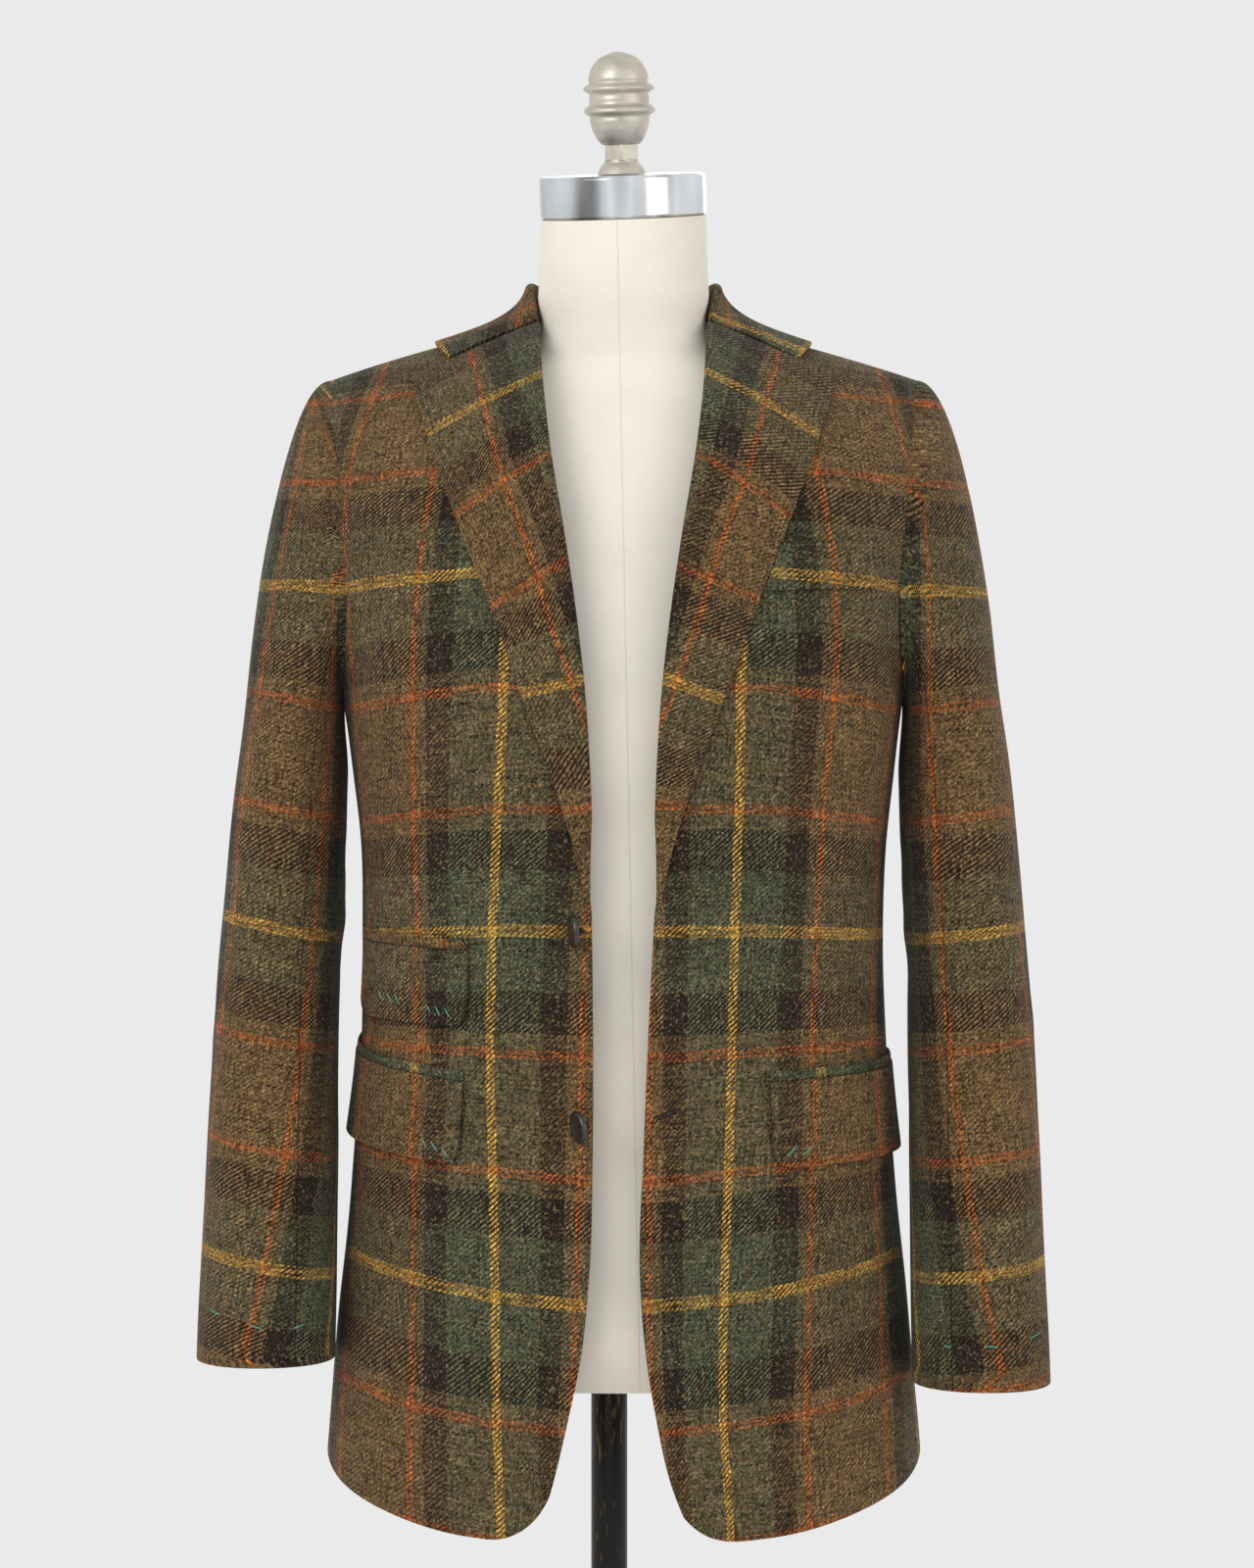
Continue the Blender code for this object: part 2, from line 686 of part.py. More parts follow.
def back_seam_turn(v, top_turn):
    """Turn of the seam between side body and back, which curves in towards the armhole."""
    return blend(SIDE_BACK_TURN, top_turn, v ** 3)


def make_back(side):
    """A back, from the centre seam to the side seam, armhole and shoulder."""
    centre_turn = 2 - GAP_TURN
    side_share = GRID["side"][1] / GRID["back"][1]

    def centre(v):
        return centre_turn, blend(hem_height(2.0), neckline(1.0)[1], v)

    def side_edge(v):
        top_turn, top_rise = armhole(BACK_SEAM_WAY, True)
        if v < side_share:
            share = v / side_share
            rise = blend(hem_height(SIDE_BACK_TURN), top_rise, share)
            return back_seam_turn(share, top_turn) + GAP_TURN, rise
        way = BACK_SEAM_WAY * (1 - (v - side_share) / (1 - side_share))
        turn, rise = armhole(way, True)
        return turn + GAP_TURN * way ** 4, rise - SEAM_GAP * (1 - way) ** 4

    def hem(u):
        turn = blend(centre_turn, SIDE_BACK_TURN + GAP_TURN, u)
        return turn, hem_height(turn)

    def top(u):
        if u < BACK_NECK_SHARE:
            turn, rise = neckline(blend(1.0, NECK_POINT, u / BACK_NECK_SHARE))
            return min(turn, centre_turn), rise
        x = blend(COLLAR_AT["neck_x"](NECK_POINT), SHOULDER_TIP_X,
                  (u - BACK_NECK_SHARE) / (1 - BACK_NECK_SHARE))
        turn, rise = crown_place(x, 0.0001)
        return turn, rise - SEAM_GAP

    place = patch(hem, top, centre, side_edge)
    return cloth_piece("back_" + side, "back", lambda u, v: body_point(side, *place(u, v)))


# --- Lapels and collar --------------------------------------------------------------------

def gorge_place(way):
    """Distance out and height along a lapel's top, from the roll line to its tip."""
    if way < LAPEL_TIP_SHARE:
        share = way / LAPEL_TIP_SHARE
        start, end = GORGE_START, NOTCH
    else:
        share = (way - LAPEL_TIP_SHARE) / (1 - LAPEL_TIP_SHARE)
        start, end = NOTCH, LAPEL_TIP
    return blend(start[0], end[0], share), blend(start[1], end[1], share)


def make_lapel(side):
    """A lapel: it bends round at the roll line and lies back over the front."""
    tip_height = LAPEL_TIP[1]

    def across(u, v):
        """Distance out, height and lift of a point that lies over the front."""
        roll_height = blend(BREAK_HEIGHT, GORGE_START[1], v)
        edge_height = blend(BREAK_HEIGHT, tip_height, v)
        top_x, top_height = gorge_place(u)
        start = Vector((roll_x(roll_height), roll_height))
        end = Vector((lapel_edge_x(edge_height), edge_height))
        flat = blend(start, end, u)
        top = Vector((top_x, top_height - SEAM_GAP))
        straight_top = blend(Vector(GORGE_START),
                             Vector((lapel_edge_x(tip_height), tip_height)), u)
        return flat + (top - straight_top) * v ** 3

    def place(u, v):
        radius = ROLL_RADIUS + ROLL_SWELL * math.sin(math.pi * min(v * 1.1, 1.0))
        if u < LAPEL_FOLD_SHARE:
            angle = math.pi * u / LAPEL_FOLD_SHARE
            spot = across(0.0, v)
            x = spot.x - radius * math.sin(angle)
            lift = radius * (1 - math.cos(angle))
        else:
            share = (u - LAPEL_FOLD_SHARE) / (1 - LAPEL_FOLD_SHARE)
            spot = across(share, v)
            x = spot.x
            end_lift = min(LAPEL_EDGE_LIFT, 2 * radius)
            lift = blend(2 * radius, end_lift, share)
            lift += LAPEL_BELLY * math.sin(math.pi * share) * math.sin(math.pi * v) ** 0.5
        return body_point(side, *front_place(x, spot.y), lift)

    return cloth_piece("lapel_" + side, "lapel", place)


def make_collar():
    """The collar: a stand up from the neck seam, folded over into the leaf."""
    up = Vector((0.0, 0.0, 1.0))

    def section(way, side):
        """Seam, fold and leaf points of the half collar, and the direction out from the neck."""
        seam = body_point(side, *neckline(way))
        seam.z += STAND_CLEAR
        out = Vector((seam.x, seam.y - SHOULDER_Y, 0.0))
        out = Vector((SIGN[side] * 0.75, -0.66, 0.0)) if out.length < 0.01 else out.normalized()
        stand = COLLAR_AT["stand"](way)
        fold = seam + Vector((0.0, 0.0, stand)) - out * STAND_LEAN * min(stand / 0.02, 1.0)
        edge_turn, edge_rise = crown_place(COLLAR_AT["edge_x"](way),
                                           COLLAR_AT["edge_angle"](way))
        edge = body_point(side, edge_turn, edge_rise, LEAF_LIFT)
        return seam, fold, edge, out

    def half(u, way, side):
        seam, fold, edge, out = section(way, side)
        if u < STAND_SHARE:
            return blend(seam, fold, u / STAND_SHARE)
        if u < STAND_AND_FOLD_SHARE:
            angle = math.pi * (u - STAND_SHARE) / (STAND_AND_FOLD_SHARE - STAND_SHARE)
            return (fold + out * COLLAR_FOLD_RADIUS * (1 - math.cos(angle))
                    + up * COLLAR_FOLD_RADIUS * math.sin(angle))
        share = (u - STAND_AND_FOLD_SHARE) / (1 - STAND_AND_FOLD_SHARE)
        start = fold + out * 2 * COLLAR_FOLD_RADIUS
        bend = seam + out * LEAF_BEND[0] + up * LEAF_BEND[1]
        gorge_line = blend(start, edge, 0.5) + up * 0.002
        bend = blend(gorge_line, bend, min(way / 0.2, 1.0))
        return (start * (1 - share) ** 2 + bend * 2 * share * (1 - share) + edge * share ** 2)

    def place(u, v):
        side = "right" if v < 0.5 else "left"
        way = 1 - abs(2 * v - 1)
        return half(u, way, side)

    return cloth_piece("collar", "collar", place)


# --- Sleeves ------------------------------------------------------------------------------

def sleeve_ring(side, angle, height):
    """A point on a sleeve, at an angle from its outer side round over the front."""
    outer, inner = SLEEVE_AT["outer"](height), SLEEVE_AT["inner"](height)
    x_part, y_part = math.cos(angle), math.sin(angle)
    power = 2 / SLEEVE_SQUARENESS
    x = (outer + inner) / 2 + (outer - inner) / 2 * math.copysign(abs(x_part) ** power, x_part)
    y = (SLEEVE_AT["middle"](height)
         - SLEEVE_AT["half_depth"](height) * math.copysign(abs(y_part) ** power, y_part))
    return Vector((SIGN[side] * x, y, height))


def sleeve_seat(side, angle):
    """Where a sleeve starts, just off the armhole."""
    back = angle > math.pi
    way = (2 * math.pi - angle if back else angle) / math.pi
    turn, rise = armhole(way, back)
    point = body_point(side, turn, rise)
    normal = body_normal(side, turn, rise - 0.0005)
    before = body_point(side, *armhole(max(way - 0.01, 0.0), back))
    after = body_point(side, *armhole(min(way + 0.01, 1.0), back))
    off = (after - before).cross(normal).normalized()
    hole = body_point(side, 1.0, ARM_MIDDLE) + Vector((SIGN[side] * 0.1, 0.0, 0.0))
    if off.dot(hole - point) < 0:
        off = -off
    slant = math.sqrt(max(1 - off.x * off.x, 0.0))
    gap = (SEAT_GAP_TOP + SEAT_GAP_MORE * way) * SEAM_GAP
    return point + off * (gap + CLOTH / 2 * slant)


def sleeve_point(side, angle, v):
    """A point on a sleeve: v runs from the cuff at 0 to the armhole at 1."""
    straight = 1 - SLEEVE_HEAD_SHARE
    top = SLEEVE[0][0]
    if v < straight:
        return sleeve_ring(side, angle, blend(CUFF_HEIGHT[side], top, v / straight))
    seat = sleeve_seat(side, angle)
    ring = sleeve_ring(side, angle, top)
    distance = (ring - seat).length
    leave = Vector((SIGN[side] * SLEEVE_LEAVE * distance, 0.0, 0.0))
    below = sleeve_ring(side, angle, top - 0.01)
    arrive = (below - ring).normalized() * distance * SLEEVE_ARRIVE
    return hermite(seat, ring, leave, arrive, 1 - (v - straight) / SLEEVE_HEAD_SHARE)


def make_sleeve(side):
    """The top sleeve, over the outer arm, and the under sleeve along its inner side."""
    start, end = UNDER_SLEEVE
    whole = 2 * math.pi

    def top_place(u, v):
        angle = blend(end + SLEEVE_GAP, start - SLEEVE_GAP + whole, u) % whole
        return sleeve_point(side, angle, v)

    def under_place(u, v):
        return sleeve_point(side, blend(start + SLEEVE_GAP, end - SLEEVE_GAP, u), v)

    cloth_piece("sleeve_top_" + side, "sleeve_top", top_place)
    cloth_piece("sleeve_under_" + side, "sleeve_under", under_place)


# --- Pockets ------------------------------------------------------------------------------

def make_pocket(name, side, front_x, front_height, rear_turn, rear_height, depth, lean):
    """A jetting and the flap below it, laid on the front by its own points."""
    start_turn, start_rise = front_place(front_x, front_height)

    def top_line(u):
        return blend(start_turn, rear_turn, u), blend(start_rise, rear_height, u)

    def jetting(u, v):
        turn, rise = top_line(u)
        lift = CLOTH / 2 + LAID_ON + TRIM_CLOTH / 2
        return body_point(side, turn, rise - JETTING * (1 - v), lift)

    width = (rear_turn - start_turn) * TURN_METRES
    off, more = FLAP_STANDS

    def flap(u, v):
        ease = 0.5 - 0.5 * math.cos(math.pi * u)
        turn, rise = top_line(ease)
        from_end = min(ease, 1 - ease) * width
        short = 0.0
        if from_end < FLAP_CORNER:
            over = FLAP_CORNER - from_end
            short = FLAP_CORNER - math.sqrt(max(FLAP_CORNER ** 2 - over ** 2, 0.0))
        top = JETTING + SEAM_GAP
        down = top + (depth - short) * (1 - v)
        lift = CLOTH + LAID_ON + off + (more + lean * ease ** 3) * (1 - v)
        return body_point(side, turn, rise - down, lift)

    ending = "" if name == "ticket" else "_" + side
    cloth_piece(name + "_jetting" + ending, "jetting", jetting, TRIM_CLOTH)
    cloth_piece(name + "_flap" + ending, "flap", flap)


def make_breast_welt():
    """The breast pocket's welt, a strip whose front end meets the lapel's edge."""
    def place(u, v):
        height = WELT_TOP + WELT_SLOPE * u - WELT_DEPTH * (1 - v)
        x = blend(lapel_edge_x(height) + 2 * SEAM_GAP, WELT_REAR_X, u)
        lift = CLOTH / 2 + LAID_ON + TRIM_CLOTH / 2
        return body_point("left", *front_place(x, height), lift)

    cloth_piece("breast_welt", "welt", place, TRIM_CLOTH)


# --- Buttons ------------------------------------------------------------------------------

def make_button(name, height, from_centre, degrees, lean):
    """A four-hole button with a raised rim, flopped nearly edge-on on its thread shank."""
    half = BUTTON_THICK / 2
    bevel = BUTTON_DISH
    profile = (
        (0.0, half - BUTTON_DISH),
        (BUTTON_RADIUS - 2 * BUTTON_RIM, half - BUTTON_DISH),
        (BUTTON_RADIUS - BUTTON_RIM, half),
        (BUTTON_RADIUS - BUTTON_RIM / 3, half),
        (BUTTON_RADIUS, half - bevel),
        (BUTTON_RADIUS, -half + bevel),
        (BUTTON_RADIUS - 2 * BUTTON_RIM, -half),
        (SHANK_RADIUS, -half),
        (SHANK_RADIUS, -SHANK_LENGTH),
        (0.0, -SHANK_LENGTH),
    )
    button = turned_piece(name, profile, "horn")
    turn = math.radians(degrees)
    facing = Vector((-math.sin(turn), -math.cos(turn), 0.0))
    seat = body_point("right", *front_place(from_centre, height), CLOTH / 2)
    button.location = seat + Vector((0.0, -BUTTON_STAND, 0.0))
    leaned = Matrix.Rotation(math.radians(-lean), 4, "Y")
    button.rotation_euler = (leaned @ facing.to_track_quat("Z", "Y").to_matrix().to_4x4()).to_euler()
    cut(button, button_holes(name + "_holes", button))
    return button


def button_holes(name, button):
    """Four rods through a button, which go where it goes."""
    rods = bmesh.new()
    for x in (-BUTTON_HOLE_SPREAD, BUTTON_HOLE_SPREAD):
        for y in (-BUTTON_HOLE_SPREAD, BUTTON_HOLE_SPREAD):
            bmesh.ops.create_cone(rods, cap_ends=True, segments=12, radius1=BUTTON_HOLE_RADIUS,
                                  radius2=BUTTON_HOLE_RADIUS, depth=2 * BUTTON_THICK,
                                  matrix=Matrix.Translation((x, y, 0.0)))
    return add_object(name, rods, "horn", button, CUTTERS)


# --- Dress form ---------------------------------------------------------------------------

def neck_turn(share=1.0):
    """A share of the neck's lean forwards and to the side."""
    return (Matrix.Rotation(NECK_ROLL * share, 4, "Y")
            @ Matrix.Rotation(NECK_TILT * share, 4, "X"))


def form_ring(height):
    """One ring of the padded form."""
    points = []
    for step in range(FORM_SIDES):
        angle = 2 * math.pi * step / FORM_SIDES
        x_part, y_part = math.cos(angle), math.sin(angle)
        power = 2 / FORM_SQUARENESS
        middle = (FORM_AT["back"](height) - FORM_AT["front"](height)) / 2
        half = (FORM_AT["back"](height) + FORM_AT["front"](height)) / 2
        x = FORM_AT["half_width"](height) * math.copysign(abs(x_part) ** power, x_part)
        y = half * math.copysign(abs(y_part) ** power, y_part)
        lean = FORM_AT["tilt"](height) / math.degrees(NECK_TILT)
        points.append(neck_turn(lean) @ Vector((x, y, 0.0)) + Vector((0.0, middle, height)))
    return points


def form_heights():
    """Ring heights, closer together over the shoulders and neck."""
    heights = [FORM[0][0], FORM[1][0]]
    for low, high, steps in FORM_RINGS:
        heights += [blend(low, high, step / steps) for step in range(1, steps + 1)]
    return heights


def make_form():
    """The padded torso and neck, with a socket for the pole."""
    shape = bmesh.new()
    rings = []
    for height in form_heights():
        rings.append([shape.verts.new(point) for point in form_ring(height)])
    for lower, upper in zip(rings, rings[1:]):
        for step in range(FORM_SIDES):
            after = (step + 1) % FORM_SIDES
            shape.faces.new((lower[step], lower[after], upper[after], upper[step]))
    shape.faces.new(tuple(reversed(rings[0])))
    shape.faces.new(tuple(rings[-1]))
    bmesh.ops.recalc_face_normals(shape, faces=shape.faces)
    form = add_object("form_body", shape, "form_cloth")
    cut(form, rod_cutter("pole_socket", POLE_RADIUS + PART_GAP, SOCKET_FOOT, SOCKET_TOP))


def make_neck_cap():
    """The polished band and top that close the neck."""
    profile = (
        (0.0, CAP_HEIGHT),
        (CAP_RADIUS - CAP_EDGE, CAP_HEIGHT),
        (CAP_RADIUS, CAP_HEIGHT - CAP_EDGE),
        (CAP_RADIUS, CAP_EDGE),
        (CAP_RADIUS - CAP_EDGE, 0.0),
        (0.0, 0.0),
    )
    cap = turned_piece("neck_cap", profile, "polished_steel")
    set_on_neck(cap, PART_GAP)


def make_finial():
    """The cast finial: a domed knob with two rings over a bulb and a narrow neck."""
    top = max(height for height, _ in FINIAL) + 0.0008
    profile = [(0.0, top)]
    profile += [(radius, height) for height, radius in reversed(FINIAL)]
    profile.append((0.0, 0.0))
    finial = turned_piece("finial", profile, "cast_nickel")
    set_on_neck(finial, CAP_HEIGHT + 2 * PART_GAP)


def set_on_neck(obj, above):
    """Place a turned piece on the neck's own axis, a distance above its top."""
    turn = neck_turn()
    obj.location = NECK_TOP + (turn @ Vector((0.0, 0.0, above)))
    obj.rotation_euler = turn.to_euler()


def make_pole():
    """The pole, from inside the base's collar up into the form."""
    shoulder = POLE_RADIUS / 12
    profile = (
        (0.0, POLE_TOP),
        (POLE_RADIUS - shoulder, POLE_TOP),
        (POLE_RADIUS, POLE_TOP - shoulder),
        (POLE_RADIUS, POLE_FOOT),
        (0.0, POLE_FOOT),
    )
    turned_piece("pole", profile, "black_enamel", STANDPOINT)


def make_base():
    """The round base, with a collar that holds the pole's foot."""
    well = POLE_RADIUS + PART_GAP
    floor = POLE_FOOT - PART_GAP
    profile = [(0.0, floor), (well, floor), (well, BASE[0][0])]
    profile += [(radius, height) for height, radius in BASE]
    profile.append((0.0, 0.0))
    turned_piece("base", profile, "black_enamel", STANDPOINT)


def main():
    """Build every piece."""
    for side in ("right", "left"):
        make_front(side)
        make_side(side)
        make_back(side)
        make_sleeve(side)
        make_lapel(side)
    make_collar()
    for row in POCKETS:
        make_pocket(*row)
    make_breast_welt()
    for row in BUTTONS:
        make_button(*row)
    make_form()
    make_neck_cap()
    make_finial()
    make_pole()
    make_base()


main()
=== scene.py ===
"""The looks of a tweed hacking jacket that hangs open on its limbless dress form.

Each piece of cloth is a thin shell on the form of its own solid: a fine grid, moved to the
place that the cutter's tables give, with the listed soft folds laid on. Every piece carries a
map named "cloth", in metres along the weft and the warp, so that the checks run as the tailor
matched them. The stand, the neck cap, the finial and the buttons are turned or copied from
their solids and finished.

Metres, +Z up. Sides are the wearer's: the wearer's right is at -X.
"""

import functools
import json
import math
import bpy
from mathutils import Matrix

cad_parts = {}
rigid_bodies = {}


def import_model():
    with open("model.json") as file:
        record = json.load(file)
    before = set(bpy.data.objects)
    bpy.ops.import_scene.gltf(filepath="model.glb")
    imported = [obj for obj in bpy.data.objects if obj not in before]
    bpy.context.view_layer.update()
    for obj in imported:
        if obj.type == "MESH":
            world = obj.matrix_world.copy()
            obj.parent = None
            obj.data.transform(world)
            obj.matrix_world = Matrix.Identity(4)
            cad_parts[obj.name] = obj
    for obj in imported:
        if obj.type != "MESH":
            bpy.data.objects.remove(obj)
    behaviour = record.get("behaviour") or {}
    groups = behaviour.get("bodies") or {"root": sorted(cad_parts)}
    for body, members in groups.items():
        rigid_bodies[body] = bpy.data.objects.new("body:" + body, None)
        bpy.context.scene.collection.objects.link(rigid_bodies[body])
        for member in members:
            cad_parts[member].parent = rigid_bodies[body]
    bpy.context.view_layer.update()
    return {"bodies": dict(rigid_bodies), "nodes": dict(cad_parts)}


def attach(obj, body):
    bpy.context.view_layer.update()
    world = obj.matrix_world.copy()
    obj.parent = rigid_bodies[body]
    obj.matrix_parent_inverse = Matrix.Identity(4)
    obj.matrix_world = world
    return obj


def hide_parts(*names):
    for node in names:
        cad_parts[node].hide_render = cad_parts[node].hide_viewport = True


bl_info = {
    "name": "Tweed Hacking Jacket on a Dress Form",
    "version": (1, 0, 0),
    "blender": (4, 5, 0),
    "location": "3D View > Sidebar > Jacket",
    "description": "Cuts, drapes and finishes a checked tweed jacket on its dress form",
    "category": "Add Mesh",
}

import bmesh
import bpy
import numpy as np
from bpy.props import FloatProperty, FloatVectorProperty, PointerProperty
from mathutils import Matrix, Vector, noise

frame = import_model()
BODY_NAME = next(iter(frame["bodies"]))

SIDES = ("right", "left")
SIGN = {"right": -1.0, "left": 1.0}


# --- Sizes that the cutter and the solids share --------------------------------------------

CLOTH = 0.002               # tweed wall, with its canvas
TRIM_CLOTH = 0.0015         # pocket jettings
SEAM_GAP = 0.0003           # between two panels along a seam
LAID_ON = 0.0008            # between a panel and what lies on it
TURN_METRES = 0.25          # cloth in one turn of the body, about
GAP_TURN = SEAM_GAP / 2 / TURN_METRES       # half a seam gap, as a turn

# How many faces each piece of cloth has across and up.
GRID = {
    "front": (72, 132),
    "side": (26, 78),
    "back": (60, 110),
    "lapel": (48, 80),
    "collar": (48, 160),
    "sleeve_top": (64, 128),
    "sleeve_under": (34, 128),
    "jetting": (60, 5),
    "flap": (60, 26),
    "welt": (56, 16),
}

SQUARENESS = 2.4            # power of the body's rounded outline, 2 is an ellipse
DEPTH_SHARE = 0.7           # depth over width of the outline that spaces the turn
CROWN = 0.13                # radius over which a panel curves in to the shoulder line
SHOULDER_Y = 0.012          # the shoulder line lies a little behind the side line
CROWN_EXTRA = CROWN * (math.pi / 2 - 1)     # cloth length that the curve adds to its height

SHOULDER_TIP_X = 0.197
SHOULDER_TOP = 1.465        # height of the shoulder line where it starts, at SHOULDER_START_X
SHOULDER_START_X = 0.06
SHOULDER_SLOPE = 0.22
SHOULDER_BEND = 0.4

# Body outline by height: half width, and depth to the front and to the back.
BODY_COLUMNS = ("height", "half_width", "front", "back")
BODY = (
    (0.66, 0.1980, 0.139, 0.150),
    (0.74, 0.1938, 0.136, 0.144),
    (0.82, 0.1868, 0.132, 0.136),
    (0.90, 0.1790, 0.128, 0.125),
    (0.98, 0.1730, 0.126, 0.114),
    (1.06, 0.1710, 0.127, 0.107),
    (1.12, 0.1727, 0.131, 0.109),
    (1.17, 0.1785, 0.136, 0.113),
    (1.23, 0.1865, 0.141, 0.121),
    (1.30, 0.1960, 0.140, 0.129),
    (1.38, 0.2030, 0.127, 0.130),
    (1.48, 0.2065, 0.102, 0.106),
)

# Front edge below the lapels: distance from the centre on the wearer's right and left.
EDGE_COLUMNS = ("height", "right", "left")
FRONT_EDGE = (
    (0.68, 0.0560, 0.0460),
    (0.72, 0.0440, 0.0297),
    (0.76, 0.0345, 0.0205),
    (0.80, 0.0263, 0.0140),
    (0.85, 0.0212, 0.0100),
    (0.93, 0.0190, 0.0125),
    (1.03, 0.0190, 0.0168),
    (1.085, 0.0198, 0.0198),
)
CORNER_HEIGHT = 0.695       # about where the front edge runs out into the quarter's hem
QUARTER_LEVEL_X = {"right": 0.086, "left": 0.075}       # where that hem has come down level
QUARTER_RISE = {"right": 0.059, "left": 0.040}
QUARTER_RUN = 0.045

# Hem height by turn: lowest at the front, rising to the back.
HEM_COLUMNS = ("turn", "height")
HEM = (
    (0.20, 0.6825),
    (0.42, 0.6880),
    (0.60, 0.6980),
    (0.75, 0.7085),
    (0.88, 0.7185),
    (1.00, 0.7255),
    (1.20, 0.7355),
    (1.60, 0.7450),
    (2.00, 0.7470),
)

# Lapel by height: the roll line, where it folds over, and its outer edge.
LAPEL_COLUMNS = ("height", "roll", "edge")
LAPEL = (
    (1.075, 0.0200, 0.0212),
    (1.12, 0.0219, 0.0305),
    (1.17, 0.0240, 0.0465),
    (1.22, 0.0275, 0.0645),
    (1.27, 0.0332, 0.0820),
    (1.32, 0.0405, 0.1015),
    (1.37, 0.0485, 0.1200),
    (1.425, 0.0545, 0.1360),
    (1.460, 0.0565, 0.1360),
)
BREAK_HEIGHT = 1.085        # where the lapel starts to turn over
BREAK_SHARE = 0.50          # of a front's rows, below that
GORGE_SHARE = 0.94          # and below the gorge
LAPEL_FOLD_SHARE = 0.36     # of a lapel's columns, in the bend
GORGE_START = (0.0565, 1.4600)      # the gorge seam, from the roll line
NOTCH = (0.1130, 1.4325)            # to the notch
LAPEL_TIP = (0.1358, 1.4240)        # and the lapel's own edge on to its tip
LAPEL_TIP_SHARE = 0.72              # the gorge's part of the lapel's top
ROLL_RADIUS = 0.0016                # bend at the bottom of the roll line
ROLL_SWELL = 0.0010                 # and how much larger it is half way up
ROLL_FOOT = 0.14                    # of the roll line, where it comes in from the edge
ROLL_FOOT_RADIUS = 0.35             # the bend there, as a share
LAPEL_BELLY = 0.0030
LAPEL_EDGE_LIFT = 0.0034

# Neckline and collar, from the gorge seam to the centre back. An angle goes round the crown of
# the shoulder: below 0 in front of the shoulder line, above 0 behind it.
COLLAR_COLUMNS = ("way", "neck_x", "neck_angle", "stand", "edge_x", "edge_angle")
COLLAR = (
    (0.00, 0.0565, -0.299, 0.0010, 0.1130, -0.553),
    (0.12, 0.0590, -0.220, 0.0090, 0.1225, -0.260),
    (0.34, 0.0630, 0.000, 0.0235, 0.1130, 0.020),
    (0.55, 0.0545, 0.300, 0.0280, 0.0950, 0.420),
    (0.78, 0.0300, 0.530, 0.0300, 0.0550, 0.730),
    (1.00, 0.0000, 0.608, 0.0305, 0.0000, 0.830),
)
STAND_CLEAR = 0.0019        # the stand starts this far above the neck seam
STAND_LEAN = 0.0025         # and leans in towards the neck
COLLAR_FOLD_RADIUS = 0.0021
STAND_SHARE = 0.25          # of the collar's columns, in the stand
STAND_AND_FOLD_SHARE = 0.50
LEAF_LIFT = 0.0044
LEAF_BEND = (0.0075, 0.0040)        # the leaf bends this far out and up from the neck seam
NECK_POINT = 0.34           # the way along the neckline where it crosses the shoulder line

# Armhole: reach either side of the side line, in turns, and its heights.
ARM_TIP_REACH = 0.20
ARM_FRONT_REACH = 0.27
ARM_BACK_REACH = 0.25
ARM_MIDDLE = 1.31
ARM_BOTTOM = 1.215

SIDE_FRONT_TURN = 0.96      # seam between front and side body
SIDE_BACK_TURN = 1.38       # seam between side body and back, at the hem
SIDE_BACK_ARM = 0.86        # where that seam meets the armhole, as a share of its back reach
SIDE_ARM_FRONT_SHARE = 0.18         # of a side body's top edge, in front of the side line
BACK_NECK_SHARE = 0.3               # of a back's top edge, along the neck

# Sleeve by height: outer and inner side, middle and half depth.
SLEEVE_COLUMNS = ("height", "outer", "inner", "middle", "half_depth")
SLEEVE = (
    (1.165, 0.2553, 0.1840, 0.000, 0.068),
    (1.10, 0.2617, 0.1857, -0.002, 0.068),
    (1.03, 0.2670, 0.1890, -0.008, 0.066),
    (0.95, 0.2707, 0.1888, -0.022, 0.062),
    (0.87, 0.2728, 0.1878, -0.042, 0.057),
    (0.77, 0.2748, 0.1874, -0.067, 0.053),
)
SLEEVE_SQUARENESS = 2.2
CUFF_HEIGHT = {"right": 0.790, "left": 0.775}
UNDER_SLEEVE = (math.radians(118), math.radians(248))    # the inner stretch that it covers
SLEEVE_GAP = SEAM_GAP / 0.06                             # half the gap beside it, as an angle
SLEEVE_HEAD_SHARE = 0.45                                 # of a sleeve's rows, above the arm pit
SLEEVE_LEAVE = 0.34         # how far the sleeve head runs straight out from the armhole
SLEEVE_ARRIVE = 1.15        # and straight down into the arm, over the distance between
SEAT_GAP_TOP = 1.5          # gap at the armhole, in seam gaps, at the shoulder
SEAT_GAP_MORE = 2.0         # and how many more under the arm

# Pockets: wearer's side, front and rear ends with their heights, the flap's depth, and how far
# its lower rear corner leans out.
POCKETS = (
    ("ticket", "right", 0.0975, 1.0610, 0.820, 1.0655, 0.048, 0.000),
    ("hip", "right", 0.1005, 0.9780, 1.050, 0.9950, 0.053, 0.0025),
    ("hip", "left", 0.0920, 0.9780, 1.050, 0.9845, 0.055, 0.0015),
)
JETTING = 0.0065
FLAP_CORNER = 0.013
FLAP_STANDS = (0.0008, 0.0012)      # off the jetting at its top, and more at its free edge
WELT_REAR_X = 0.1600
WELT_TOP = 1.3115
WELT_SLOPE = 0.0030
WELT_DEPTH = 0.030

# Buttons: name, height, distance from the centre on the wearer's right, and degrees that each is
# turned to the wearer's right and that its top leans the same way.
BUTTONS = (
    ("button_upper", 1.0679, 0.0309, 77.0, 5.0),
    ("button_lower", 0.9446, 0.0277, 67.0, 12.0),
)
BUTTON_THICK = 0.0040
BUTTON_STAND = 0.0125       # from the panel to the middle of the button
BUTTON_HOLE_SPREAD = 0.0021         # of a hole from the middle, each way
SHANK_RADIUS = 0.0014
SHANK_LENGTH = 0.0060

